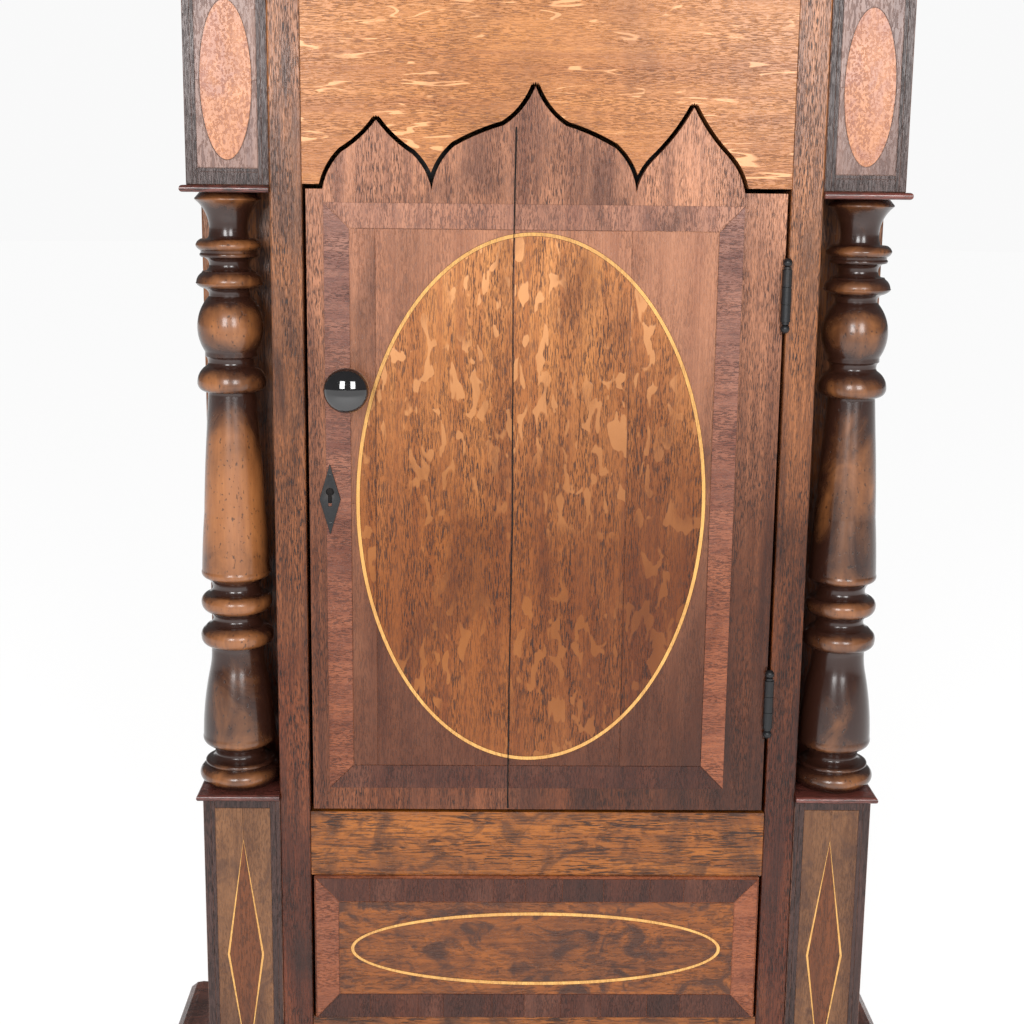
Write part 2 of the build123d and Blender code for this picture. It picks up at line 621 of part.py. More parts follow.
def movement_plates():
    plates = []
    for y in ((PLATE_FRONT, PLATE_FRONT + PLATE), (BACK_PLATE, BACK_PLATE + PLATE)):
        plate = box((-PLATE_HALF, PLATE_HALF), y, (SEAT_TOP, PLATE_TOP))
        for at, radius in arbor_places():
            plate -= arbor(at, (y[0] - 1, y[1] + 1), radius + RUNNING)
        plates.append(plate)
    plates[0] -= arbor(MINUTE_AT, (PLATE_FRONT - 1, PLATE_FRONT + PLATE + 1), STUD_R + RUNNING)
    return plates


def movement_pillars():
    """Four pillars between the plates, and four feet that hold the dial."""
    pillars = []
    for x in (-66, 66):
        for z in (SEAT_TOP + 10, PLATE_TOP - 10):
            pillar = rod(x, z, 4.5, (PLATE_FRONT + PLATE, BACK_PLATE))
            pillar += rod(x, z, 5.8, (0, 6))
            pillars.append(pillar)
    for x in (-58, 58):
        for z in (SEAT_TOP + 22, PLATE_TOP - 22):
            pillars.append(rod(x, z, 3.0, (DIAL_FRONT + 2, PLATE_FRONT)))
    return pillars


def movement_brackets():
    """Back cock that hangs the pendulum, and the bell stand."""
    out = PENDULUM_Y + 8
    cock = box((-22, 22), (BACK_PLATE + PLATE, BACK_PLATE + PLATE + 4), (SUSPENSION_Z - 4, SUSPENSION_Z + 8))
    cock -= arbor(ANCHOR_AT, (BACK_PLATE, BACK_PLATE + 20), 4.0)
    for x in ((-22, -5), (5, 22)):
        cock += box(x, (BACK_PLATE + PLATE, out), (SUSPENSION_Z + 2, SUSPENSION_Z + 8))
    cock += box((-22, 22), (out - 16, out), (SUSPENSION_Z + 8, SUSPENSION_Z + 14))
    stand = box((-4, 41), (-16, BACK_PLATE + PLATE + 3), (BELL_Z + 27, BELL_Z + 31))
    stand -= box((8, 45), (-20, BACK_PLATE - 6), (BELL_Z + 20, BELL_Z + 40))
    stand += box((33, 41), (BACK_PLATE + PLATE, BACK_PLATE + PLATE + 3), (PLATE_TOP - 22, BELL_Z + 31))
    stand += post(0, -12, 2.5, (BELL_Z + 18, BELL_Z + 31))
    return [cock, stand]


def bell():
    """Cast bell, mouth down, held by a nut under the stand."""
    shell = outline([(2.5, 0), (10, 0), (44, -40, -11), (46, -44), (42, -44), (40, -39),
                     (10, -3, 11), (2.5, -3)])
    return [Pos(0, -12, BELL_Z + 25) * revolve(Plane.XZ * shell, Axis.Z)]


# ---------------------------------------------------------------- going train and hands
def toward(at, other):
    """Turn that points a wheel's tooth at a neighbouring arbor."""
    return degrees(atan2(other[1] - at[1], other[0] - at[0]))


def gap_toward(at, other, teeth):
    """Turn that points the gap between two teeth at a neighbouring arbor."""
    return toward(at, other) + 180.0 / teeth


def centre_wheel():
    """Centre arbor with its pinion of 8, centre wheel of 60 and cannon wheel of 36."""
    solid = arbor(CENTRE_AT, (MINUTE_Y[0] - 1, BACK_END))
    solid += wheel(8, GREAT_MODULE, CENTRE_AT, (6.5, 12.5), gap_toward(CENTRE_AT, GREAT_AT, 8),
                   tip=0.7, land=0.4)
    solid += wheel(60, TRAIN_MODULE, CENTRE_AT, (-36, -34), toward(CENTRE_AT, THIRD_AT), crossings=4)
    solid += wheel(36, 0.75, CENTRE_AT, (-50, -48), toward(CENTRE_AT, MINUTE_AT), tip=0.8)
    solid += arbor(CENTRE_AT, (MINUTE_Y[0] - 1, -50), 3.2)
    return [solid]


def great_wheel(at, y):
    return wheel(96, GREAT_MODULE, at, y, toward(at, CENTRE_AT), crossings=4,
                 bore=BARREL_ARBOR_R + RUNNING)


def going_great_wheel():
    return [great_wheel(GREAT_AT, (8, 11))]


def strike_great_wheel():
    blank = wheel(96, GREAT_MODULE, STRIKE_AT, (13, 16), toward(STRIKE_AT, PIN_WHEEL_AT), crossings=4,
                  bore=BARREL_ARBOR_R + RUNNING)
    return [blank]


def barrel(at):
    """Drum with flanges, on an arbor squared at the dial for the winding key."""
    solid = arbor(at, (-30, 6), BARREL_R)
    for y in ((-31.5, -30), (6, 7.5)):
        solid += arbor(at, y, BARREL_R + 2)
    solid += arbor(at, (-66, BACK_END), BARREL_ARBOR_R)
    z = DIAL_Z + at[1]
    return solid + box((at[0] - 2.2, at[0] + 2.2), (WINDING_END, -66), (z - 2.2, z + 2.2))


def going_barrel():
    return [barrel(GREAT_AT)]


def strike_barrel():
    return [barrel(STRIKE_AT)]


def third_wheel():
    solid = arbor(THIRD_AT, (PLATE_FRONT, BACK_END))
    solid += wheel(8, TRAIN_MODULE, THIRD_AT, (-38, -32), gap_toward(THIRD_AT, CENTRE_AT, 8), tip=0.7,
                   land=0.4)
    return [solid + wheel(56, TRAIN_MODULE, THIRD_AT, (-20, -18), toward(THIRD_AT, ESCAPE_AT), crossings=4)]


def escape_wheel():
    """Escape arbor, carried through the dial, with a pinion of 7 and 30 pointed teeth."""
    solid = arbor(ESCAPE_AT, (SECONDS_Y[0] - 0.4, BACK_END))
    solid += wheel(7, TRAIN_MODULE, ESCAPE_AT, (-22, -16), gap_toward(ESCAPE_AT, THIRD_AT, 7), tip=0.7,
                   land=0.4)
    return [solid + wheel(30, 22 / 15, ESCAPE_AT, (1, 3), crossings=4, tip=0.0, root=2.4, land=0.2)]


def minute_wheel():
    """Motion wheel of 36 with its pinion of 6, on a stud in the front plate."""
    solid = arbor(MINUTE_AT, (-57, PLATE_FRONT + PLATE), STUD_R)
    solid += wheel(36, 0.75, MINUTE_AT, (-50, -48), gap_toward(MINUTE_AT, CENTRE_AT, 36), tip=0.8)
    return [solid + wheel(6, 27 / 39, MINUTE_AT, (-56, -52), gap_toward(MINUTE_AT, CENTRE_AT, 6), tip=0.7,
                          land=0.4)]


def hour_wheel():
    solid = wheel(72, 27 / 39, CENTRE_AT, (-55, -53), toward(CENTRE_AT, MINUTE_AT), tip=0.7, land=0.3)
    solid += arbor(CENTRE_AT, (HOUR_Y[0] - 0.6, -53), 5.0)
    return [solid - arbor(CENTRE_AT, (HOUR_Y[0] - 5, -50), 3.2 + RUNNING)]


def hand(points, at, y, bore, clock_turn):
    """A flat hand drawn pointing to twelve, then turned clockwise about its arbor."""
    blank = extrude(outline(points) + Circle(bore + 3.2), abs(y[1] - y[0]))
    blank -= Cylinder(bore, 20)
    return Pos(at[0], max(y), DIAL_Z + at[1]) * Rot(90, 0, 0) * Rot(0, 0, -clock_turn) * blank


def minute_hand():
    shape = [(-1.8, -22), (1.8, -22), (2.0, 0), (3.6, 58, 0.4), (6.5, 68, 2), (3.0, 82, 2), (0, 130),
             (-3.0, 82), (-6.5, 68, 2), (-3.6, 58, 2), (-2.0, 0, 0.4)]
    return [hand(shape, CENTRE_AT, MINUTE_Y, 3.2, 60)]


def hour_hand():
    shape = [(-2.5, 0), (2.5, 0), (4.0, 36, 0.3), (11.0, 50, 4), (3.5, 64, 3), (0, 88), (-3.5, 64),
             (-11.0, 50, 3), (-4.0, 36, 4)]
    return [hand(shape, CENTRE_AT, HOUR_Y, 5.0, 305)]


def seconds_hand():
    shape = [(-1.0, -9), (1.0, -9), (0.4, 21), (-0.4, 21)]
    return [hand(shape, ESCAPE_AT, SECONDS_Y, ARBOR_R, 210)]


# ---------------------------------------------------------------- escapement and pendulum
def anchor():
    """Recoil anchor on its arbor, with the crutch that drives the pendulum."""
    z = DIAL_Z + ANCHOR_AT[1]
    solid = arbor(ANCHOR_AT, (PLATE_FRONT, 40))
    solid += rod(0, z, 5, (0, 4))
    for side in (-1, 1):
        arm = outline([(0, z + 3), (side * 19, z - 7), (side * 22, z - 19), (side * 17.5, z - 15.5),
                       (side * 15, z - 9), (0, z - 4)])
        solid += slab(arm, (0.5, 3.5))
    solid += box((-1.6, 1.6), (35, 38), (1622, z))
    solid += box((-8, 8), (35, 38), (1616, 1624))
    for side in (-1, 1):
        solid += box((side * 3.2, side * 6), (35, PENDULUM_Y + 4), (1618, 1622))
    return [solid]


def pendulum_rod():
    """Suspension block and spring, rod, and the rating nut under the bob."""
    y = (PENDULUM_Y - 4, PENDULUM_Y + 4)
    bob_z = SUSPENSION_Z - PENDULUM_LENGTH
    solid = box((-4, 4), y, (SUSPENSION_Z + 2, SUSPENSION_Z + 7.5))
    solid += box((-0.3, 0.3), (PENDULUM_Y - 3, PENDULUM_Y + 3), (SUSPENSION_Z - 26, SUSPENSION_Z + 3))
    solid += box((-3, 3), y, (SUSPENSION_Z - 36, SUSPENSION_Z - 24))
    solid += post(0, PENDULUM_Y, 2.5, (bob_z - BOB_R - 26, SUSPENSION_Z - 34))
    nut = post(0, PENDULUM_Y, 8, (bob_z - BOB_R - 9, bob_z - BOB_R - 1))
    return [solid, nut - post(0, PENDULUM_Y, 2.5, (bob_z - BOB_R - 20, bob_z - BOB_R + 5))]


def pendulum_bob():
    lens = outline([(0, -13), (BOB_R, -1, 3), (BOB_R, 1), (0, 13, 3)])
    bob_z = SUSPENSION_Z - PENDULUM_LENGTH
    bob = Pos(0, PENDULUM_Y, bob_z) * Rot(90, 0, 0) * revolve(Plane.XZ * lens, Axis.Z)
    return [bob - post(0, PENDULUM_Y, 2.5, (bob_z - BOB_R - 5, bob_z + BOB_R + 5))]


# ---------------------------------------------------------------- strike
def pin_wheel():
    """Strike pin wheel: pinion of 8, wheel of 60 and eight lifting pins."""
    solid = arbor(PIN_WHEEL_AT, (PLATE_FRONT, BACK_END))
    solid += wheel(8, GREAT_MODULE, PIN_WHEEL_AT, (12, 17), gap_toward(PIN_WHEEL_AT, STRIKE_AT, 8),
                   tip=0.7, land=0.4)
    solid += wheel(60, TRAIN_MODULE, PIN_WHEEL_AT, (-36, -34), crossings=4)
    for index in range(8):
        angle = index * pi / 4
        at = (PIN_WHEEL_AT[0] + 22.3 * cos(angle), PIN_WHEEL_AT[1] + 22.3 * sin(angle))
        solid += arbor(at, (-34, -28), 0.8)
    return [solid]


def hammer():
    """Bell hammer: arbor, tail over the pins, arm and head."""
    x, z = HAMMER_AT[0], DIAL_Z + HAMMER_AT[1]
    solid = arbor(HAMMER_AT, (PLATE_FRONT, BACK_END))
    solid += rod(x, z, 4.5, (-32, -18))
    solid += box((x - 1.5, x + 1.5), (-32, -29), (z - 12, z))
    solid += box((x - 1.5, x + 1.5), (-24, -21), (z, z + 52))
    head = Pos(x - 3.5, -22.5, z + 51) * Rot(0, 90, 0) * Cylinder(5, 13)
    return [solid + head]


# ---------------------------------------------------------------- weights, pulleys, lines
def weight(side):
    """Iron weight with its hook, and the stirrup that carries the pulley."""
    x, top = side * WEIGHT_X, PULLEY_Z - 60
    stations = [(0, 6), (3, 24, 1.5), (8, WEIGHT_R, 1.5), (WEIGHT_TALL - 6, WEIGHT_R),
                (WEIGHT_TALL, WEIGHT_R - 6, 1.5)]
    shell = turned(stations, x, WEIGHT_Y, top)
    stirrup = box((x - 7, x + 7), (WEIGHT_Y - 9, WEIGHT_Y + 9), (PULLEY_Z - 32, PULLEY_Z - 28))
    for y in ((WEIGHT_Y - 9, WEIGHT_Y - 7), (WEIGHT_Y + 7, WEIGHT_Y + 9)):
        stirrup += box((x - 7, x + 7), y, (PULLEY_Z - 30, PULLEY_Z + 6))
    stirrup += rod(x, PULLEY_Z, 2.0, (WEIGHT_Y - 10, WEIGHT_Y + 10))
    stirrup += post(x, WEIGHT_Y, 2.4, (top, PULLEY_Z - 30))
    return [shell, stirrup]


def pulley(side):
    profile = outline([(2.0 + RUNNING, -5), (22.5, -5), (22.5, -2.4), (18.6, -1.0), (18.6, 1.0),
                       (22.5, 2.4), (22.5, 5), (2.0 + RUNNING, 5)])
    return [Pos(side * WEIGHT_X, WEIGHT_Y, PULLEY_Z) * Rot(90, 0, 0) * revolve(Plane.XZ * profile, Axis.Z)]


def line(side):
    """The gut line's two hanging parts, from the barrel and from the seatboard to the pulley."""
    near = post(side * LINE_X, WEIGHT_Y, LINE_R, (PULLEY_Z, DIAL_Z + GREAT_AT[1]))
    tail = post(side * (LINE_X + 2 * PULLEY_R), WEIGHT_Y, LINE_R, (PULLEY_Z, SEAT_TOP + 4))
    return [near, tail]


# ---------------------------------------------------------------- write every sub-part
MAKERS = [
    bracket_feet, base_front, base_sides, base_boards, base_moulding, trunk_back, trunk_sides,
    trunk_stiles, door_head_board, trunk_rails, lower_panel, corner_blocks, column_ledges,
    trunk_columns, throat_moulding, seatboard, trunk_door_board, trunk_hinge_case_leaves,
    trunk_hinge_door_leaves, door_knob, escutcheon, lock_case, lock_bolt,
    hood_base_frame, hood_carcase, hood_mask, hood_columns, cornice, pediment, pediment_brasses,
    hood_door_frame, hood_door_glass, dial, movement_plates, movement_pillars, movement_brackets,
    bell, centre_wheel, going_great_wheel, strike_great_wheel, going_barrel, strike_barrel,
    third_wheel, escape_wheel, minute_wheel, hour_wheel, minute_hand, hour_hand, seconds_hand,
    anchor, pendulum_rod, pendulum_bob, pin_wheel, hammer,
]


def write(name, solids):
    pieces = [piece for solid in solids for piece in solid.solids()]
    export_step(Compound(children=pieces) if len(pieces) > 1 else pieces[0], f"parts/{name}.step")


os.makedirs("parts", exist_ok=True)
for maker in MAKERS:
    write(maker.__name__, maker())
for train, side in (("going", 1), ("strike", -1)):
    write(f"{train}_weight", weight(side))
    write(f"{train}_pulley", pulley(side))
    write(f"{train}_line", line(side))
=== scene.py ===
import json
import math
import bpy
from mathutils import Matrix, Vector

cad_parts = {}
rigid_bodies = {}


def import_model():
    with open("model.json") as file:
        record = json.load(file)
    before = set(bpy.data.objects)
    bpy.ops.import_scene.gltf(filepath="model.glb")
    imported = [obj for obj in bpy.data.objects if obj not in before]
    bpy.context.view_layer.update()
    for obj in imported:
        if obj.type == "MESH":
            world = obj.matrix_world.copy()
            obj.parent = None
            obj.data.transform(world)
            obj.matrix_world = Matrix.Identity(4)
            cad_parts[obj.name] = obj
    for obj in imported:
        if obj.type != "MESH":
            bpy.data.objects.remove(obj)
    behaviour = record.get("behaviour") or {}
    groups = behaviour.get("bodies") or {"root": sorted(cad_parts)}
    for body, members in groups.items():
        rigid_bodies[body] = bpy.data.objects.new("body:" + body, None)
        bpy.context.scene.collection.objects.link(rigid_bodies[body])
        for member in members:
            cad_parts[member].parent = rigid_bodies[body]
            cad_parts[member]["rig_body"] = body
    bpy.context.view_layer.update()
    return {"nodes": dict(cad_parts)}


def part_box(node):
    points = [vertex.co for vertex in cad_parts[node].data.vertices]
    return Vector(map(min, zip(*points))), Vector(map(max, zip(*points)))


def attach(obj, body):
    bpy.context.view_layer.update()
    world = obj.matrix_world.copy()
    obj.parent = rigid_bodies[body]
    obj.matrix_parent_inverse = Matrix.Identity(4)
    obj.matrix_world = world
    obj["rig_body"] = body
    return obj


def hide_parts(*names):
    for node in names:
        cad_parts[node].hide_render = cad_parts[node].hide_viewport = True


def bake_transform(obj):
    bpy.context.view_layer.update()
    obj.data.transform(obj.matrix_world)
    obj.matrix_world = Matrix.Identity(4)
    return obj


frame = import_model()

# Looks of the longcase clock.  Metres in the clock's own frame: +Z up, the dial faces -Y.
# Shapes below are drawn in millimetres and scaled by MM.
MM = 0.001
NODES = frame["nodes"]

DOOR_LOW, DOOR_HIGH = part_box("trunk_door_board")
DOOR_BELOW_LEDGE = 426.8
LEDGE_Z = DOOR_LOW.z / MM + DOOR_BELOW_LEDGE    # underside of the upper corner blocks
DOOR_FRONT = DOOR_LOW.y / MM
PANEL_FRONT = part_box("lower_panel")[0].y / MM
BLOCK_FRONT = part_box("corner_blocks")[0].y / MM
BASE_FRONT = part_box("base_front")[0].y / MM
DIAL_LOW, DIAL_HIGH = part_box("dial")
DIAL_HALF = DIAL_HIGH.x / MM
DIAL_FRONT = DIAL_LOW.y / MM
DIAL_Z = DIAL_LOW.z / MM + DIAL_HALF       # centre of the hands
WINDING_X, WINDING_DROP = 38.0, 26.0       # the barrels, beside and below the hands
SECONDS_RISE = 47.07                       # the seconds arbor, above the hands
SEAT_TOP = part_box("seatboard")[1].z / MM
VENEER = 0.35                              # how proud an inlay stands
HAIR = 0.22                                # half the gap between two veneers


# ---------------------------------------------------------------- materials: node helpers
class Finish:
    """One procedural material, with its textures laid in the clock's own frame."""

    def __init__(self, name, **sockets):
        self.material = bpy.data.materials.new(name)
        self.material.use_nodes = True
        self.tree = self.material.node_tree
        self.shader = self.tree.nodes["Principled BSDF"]
        self.coords = self.node("TexCoord").outputs["Object"]
        for socket, value in sockets.items():
            self.shader.inputs[socket.replace("_", " ")].default_value = value

    def node(self, kind, inputs=None, **settings):
        made = self.tree.nodes.new("ShaderNode" + kind)
        for key, value in settings.items():
            setattr(made, key, value)
        for place, value in (inputs or {}).items():
            self.feed(value, made.inputs[place])
        return made

    def feed(self, value, socket):
        if isinstance(value, bpy.types.NodeSocket):
            self.tree.links.new(value, socket)
        elif socket.type == "RGBA" and not hasattr(value, "__len__"):
            socket.default_value = (value, value, value, 1.0)
        elif socket.type == "RGBA":
            socket.default_value = (*value[:3], 1.0)
        else:
            socket.default_value = value

    def stretched(self, across, along, way, shift=0.0):
        """Coordinates in cycles per metre, finer across the grain than along it."""
        scale = [along if axis == way else across for axis in "xyz"]
        drift = self.node("Attribute", attribute_name="board").outputs["Fac"]
        moved = self.node("VectorMath", {0: self.coords, 1: self.node(
            "CombineXYZ", {0: drift, 1: drift, 2: drift}).outputs[0]}, operation="ADD")
        return self.node("Mapping", {"Vector": moved.outputs[0], "Scale": scale,
                                     "Location": (shift, shift, shift)}).outputs[0]

    def noise(self, vector, detail=3.0, rough=0.55, warp=0.0):
        return self.node("TexNoise", {"Vector": vector, "Scale": 1.0, "Detail": detail,
                                      "Roughness": rough, "Distortion": warp}).outputs[0]

    def step(self, value, low, high):
        """0 below low, 1 above high, smooth between.  Low may be the larger of the two."""
        return self.node("MapRange", {"Value": value, "From Min": low, "From Max": high},
                         interpolation_type="SMOOTHSTEP").outputs[0]

    def maths(self, kind, a, b=0.5):
        return self.node("Math", {0: a, 1: b}, operation=kind).outputs[0]

    def linear(self, value, slope, start):
        return self.node("Math", {0: value, 1: slope, 2: start}, operation="MULTIPLY_ADD").outputs[0]

    def mix(self, share, a, b, kind="MIX"):
        return self.node("Mix", {0: share, 6: a, 7: b}, data_type="RGBA", blend_type=kind).outputs[2]

    def axis(self, index):
        return self.node("SeparateXYZ", {0: self.coords}).outputs[index]

    def attribute(self, name):
        return self.node("Attribute", attribute_name=name).outputs["Fac"]

    def done(self, colour, rough, heights=()):
        """Links colour and roughness, and adds up (height socket, metres) pairs into one bump."""
        self.feed(colour, self.shader.inputs["Base Color"])
        self.feed(rough, self.shader.inputs["Roughness"])
        total = None
        for value, deep in heights:
            term = self.maths("MULTIPLY", value, deep)
            total = term if total is None else self.maths("ADD", total, term)
        if total is not None:
            bump = self.node("Bump", {"Height": total, "Distance": 1.0, "Strength": 1.0})
            self.feed(bump.outputs[0], self.shader.inputs["Normal"])
        return self.material


def wood(name, pale, dark, pore, way="z", figure=(34, 2.5), pores=(1900, 150), pore_share=0.8,
         rays=None, ray_colour=(0.60, 0.30, 0.13), stain=0.5, stain_colour=(0.030, 0.012, 0.008),
         low_dark=0.0, mottle=0.0, rough=0.27, coat=0.12, contrast=(0.30, 0.70), tint_by_place=None):
    """Polished wood: figure along the grain, open pores, ray flecks, old stains and wax."""
    made = Finish(name, Coat_Weight=coat, Coat_Roughness=0.22, Specular_IOR_Level=0.34)
    broad = made.noise(made.stretched(*figure, way), 4.0, 0.6, 0.8)
    fine = made.noise(made.stretched(figure[0] * 9, figure[1] * 3, way, 3.1), 2.0)
    tone = made.maths("ADD", made.maths("MULTIPLY", broad, 0.62), made.maths("MULTIPLY", fine, 0.38))
    colour = made.mix(made.step(tone, *contrast), dark, pale)
    open_pores = made.noise(made.stretched(*pores, way, 1.7), 2.0, 0.6, 0.3)
    crowded = made.step(made.noise(made.stretched(90, 12, way, 8.3), 2.0), 0.30, 0.62)
    pored = made.maths("MULTIPLY", made.step(open_pores, 0.50, 0.60),
                       made.linear(crowded, 0.75, 0.5))
    if rays == "blobs":
        spot = made.noise(made.stretched(125, 52, way, 5.5), 1.6, 0.5, 0.6)
        patch = made.noise(made.stretched(16, 9, way, 2.2), 2.0)
        ray = made.maths("MULTIPLY", made.step(spot, 0.560, 0.600), made.step(patch, 0.40, 0.50))
    elif rays == "strokes":
        line = made.noise(made.stretched(96, 11, way, 5.5), 1.0, 0.4, 1.6)
        near = made.maths("ABSOLUTE", made.maths("SUBTRACT", line, 0.5))
        patch = made.noise(made.stretched(44, 22, way, 2.2), 2.0, 0.6, 0.6)
        ray = made.maths("MULTIPLY", made.step(near, 0.034, 0.018), made.step(patch, 0.53, 0.58))
    else:
        ray = None
    if ray is not None:
        pored = made.maths("MULTIPLY", pored, made.maths("SUBTRACT", 1.0, ray))
        soft_ray = made.maths("MULTIPLY", ray, 0.85)
        colour = made.mix(soft_ray, colour, ray_colour)
    colour = made.mix(made.maths("MULTIPLY", pored, pore_share), colour, pore)
    heights = [(pored, -0.00012), (fine, 0.00006)]
    if mottle:
        cloud = made.noise(made.stretched(48, 34, way, 6.1), 5.0, 0.62, 1.4)
        colour = made.mix(made.maths("MULTIPLY", made.step(cloud, 0.47, 0.66), mottle), colour, stain_colour)
    patina = made.noise(made.stretched(15, 7, "z", 4.4), 6.0, 0.62, 0.5)
    aged = made.step(patina, 0.50, 0.72)
    if low_dark:
        foot = made.step(made.axis(2), (LEDGE_Z - 60) * MM, (LEDGE_Z - 460) * MM)
        aged = made.maths("MAXIMUM", aged, made.maths(
            "MULTIPLY", foot, made.step(patina, 0.62 - low_dark, 0.62)))
    colour = made.mix(made.maths("MULTIPLY", aged, stain), colour, stain_colour)
    if tint_by_place:
        # Scales the colour by place: one tint at the top, one towards the foot, one to the right.
        top_tint, low_tint, right_tint, reach = tint_by_place
        drift = made.maths("MULTIPLY", made.maths("SUBTRACT", patina, 0.5), 0.9)
        fall = made.maths("ADD", drift, made.step(made.axis(2), (LEDGE_Z + 20) * MM, (LEDGE_Z - reach) * MM))
        to_right = made.maths("MULTIPLY", fall, made.step(made.axis(0), -0.05, 0.10))
        colour = made.mix(1.0, colour, made.mix(fall, top_tint, low_tint), "MULTIPLY")
        colour = made.mix(to_right, colour, made.mix(1.0, colour, right_tint, "MULTIPLY"))
    glossy = made.linear(made.noise(made.stretched(30, 30, "z", 9.0), 3.0), 0.16, rough - 0.08)
    rougher = made.maths("ADD", glossy, made.maths("MULTIPLY", pored, 0.15))
    return made.done(colour, rougher, heights)


def turned_wood(name):
    """Dark turned wood: rubbed to chestnut on its crests and the shaft, kept dark on its flanks as painted
    shade, glossy in the hollows.
    """
    made = Finish(name, Coat_Weight=0.45, Coat_Roughness=0.16, Specular_IOR_Level=0.4)
    wear_and_flank_shade = made.attribute("wear")
    grain = made.noise(made.stretched(240, 16, "z"), 4.0, 0.6, 0.6)
    cloud = made.noise(made.stretched(34, 24, "z", 3.0), 5.0, 0.62, 0.8)
    share = made.maths("ADD", made.maths("MULTIPLY", wear_and_flank_shade, 1.1),
                       made.maths("MULTIPLY", made.maths("SUBTRACT", cloud, 0.5), 1.1))
    share = made.step(share, 0.12, 0.95)
    chestnut = made.mix(grain, (0.17, 0.052, 0.014), (0.40, 0.155, 0.048))
    colour = made.mix(share, (0.026, 0.009, 0.0055), chestnut)
    speck = made.step(made.noise(made.stretched(520, 300, "z", 6.0), 2.0), 0.62, 0.70)
    colour = made.mix(made.maths("MULTIPLY", speck, 0.7), colour, (0.016, 0.006, 0.004))
    rough = made.linear(share, 0.16, 0.25)
    return made.done(colour, rough, [(grain, 0.00010), (speck, -0.00010)])


def metal(name, colour, dull, rough=0.28, brushed=0.00002, tarnish=0.4, metallic=1.0, coat=0.0):
    """Metal with fine working marks and patches of tarnish."""
    made = Finish(name, Metallic=metallic, Coat_Weight=coat, Coat_Roughness=0.1)
    cloud = made.noise(made.stretched(42, 42, "z"), 5.0, 0.6, 0.6)
    marks = made.noise(made.stretched(900, 160, "x", 2.0), 2.0)
    spots = made.step(made.noise(made.stretched(260, 260, "z", 7.0), 3.0), 0.58, 0.72)
    shade = made.mix(made.maths("MULTIPLY", made.step(cloud, 0.42, 0.70), tarnish), colour, dull)
    shade = made.mix(made.maths("MULTIPLY", spots, tarnish * 0.7), shade, dull)
    rougher = made.linear(cloud, 0.22, rough - 0.10)
    return made.done(shade, rougher, [(marks, brushed), (spots, -0.00003)])


def iron(name, colour=(0.008, 0.008, 0.009), rust=0.22, rough=0.40):
    """Japanned or painted iron, slightly pitted, rubbed through here and there."""
    made = Finish(name, Metallic=0.0, Coat_Weight=0.12, Coat_Roughness=0.2, Specular_IOR_Level=0.35)
    pits = made.noise(made.stretched(420, 420, "z"), 3.0, 0.6)
    cloud = made.noise(made.stretched(70, 70, "z", 5.0), 4.0, 0.6)
    rusty = made.maths("MULTIPLY", made.step(cloud, 0.55, 0.75), rust)
    shade = made.mix(rusty, colour, (0.075, 0.045, 0.030))
    rougher = made.linear(pits, 0.25, rough - 0.12)
    return made.done(shade, rougher, [(pits, 0.00012)])


def paint(name, colour, deep, rough=0.35, crackle=0.0, metallic=0.0):
    """Dial paint: brushed tone, and crackle where asked."""
    made = Finish(name, Metallic=metallic, Coat_Weight=0.08, Coat_Roughness=0.2, Specular_IOR_Level=0.3)
    cloud = made.noise(made.stretched(16, 16, "z"), 5.0, 0.6, 0.5)
    brush = made.noise(made.stretched(400, 60, "x", 3.0), 2.0)
    shade = made.mix(made.step(cloud, 0.40, 0.75), colour, deep)
    shade = made.mix(made.maths("MULTIPLY", brush, 0.12), shade, deep)
    heights = [(brush, 0.00001)]
    if crackle:
        cell = made.node("TexVoronoi", {"Vector": made.stretched(120, 120, "z"), "Scale": 1.0},
                         feature="DISTANCE_TO_EDGE").outputs[0]
        crack = made.step(cell, 0.022, 0.0)
        shade = made.mix(made.maths("MULTIPLY", crack, crackle), shade, (0.30, 0.24, 0.15))
        heights.append((crack, -0.00003))
    rougher = made.linear(cloud, 0.12, rough - 0.06)
    return made.done(shade, rougher, heights)


def gut_line(name):
    made = Finish(name, Coat_Weight=0.3, Coat_Roughness=0.3, Subsurface_Weight=0.0)
    strand = made.noise(made.stretched(2400, 500, "z"), 2.0, 0.5, 0.5)
    shade = made.mix(strand, (0.40, 0.25, 0.11), (0.66, 0.48, 0.26))
    return made.done(shade, 0.5, [(strand, 0.00015)])


def glass(name):
    """Old glass: almost clear, faintly green, with a slow ripple."""
    made = Finish(name, Alpha=0.06, IOR=1.5, Specular_IOR_Level=0.5)
    ripple = made.noise(made.stretched(9, 5, "z"), 2.0)
    seeds = made.step(made.noise(made.stretched(300, 200, "z", 4.0), 1.0), 0.74, 0.80)
    shade = made.mix(seeds, (0.03, 0.05, 0.045), (0.25, 0.30, 0.28))
    return made.done(shade, 0.03, [(ripple, 0.0010), (seeds, 0.00005)])


# ---------------------------------------------------------------- materials of this clock
STAIN = (0.026, 0.010, 0.007)
# How the trunk's colour changes with place: tint at the top, at the foot, to the right, and depth in mm.
DOOR_TINT = ((1.0, 1.0, 1.0), (0.36, 0.22, 0.11), (0.50, 0.44, 0.40), 330)
STILE_TINT = ((1.0, 1.0, 1.0), (0.30, 0.15, 0.08), (0.75, 0.68, 0.60), 430)
FIELD_TINT = ((1.0, 1.0, 1.0), (0.25, 0.145, 0.075), (0.90, 0.90, 0.88), 400)
OVAL_TINT = ((1.0, 1.0, 1.0), (0.42, 0.29, 0.13), (0.58, 0.48, 0.36), 290)
SIDE_BAND_TINT = ((1.0, 1.0, 1.0), (0.95, 0.62, 0.34), (1.2, 1.2, 1.15), 430)
END_BAND_TINT = ((1.0, 1.0, 1.0), (0.21, 0.10, 0.05), (0.85, 0.82, 0.80), 430)
OAK = dict(pale=(0.58, 0.240, 0.072), dark=(0.34, 0.112, 0.030), pore=(0.080, 0.024, 0.008))
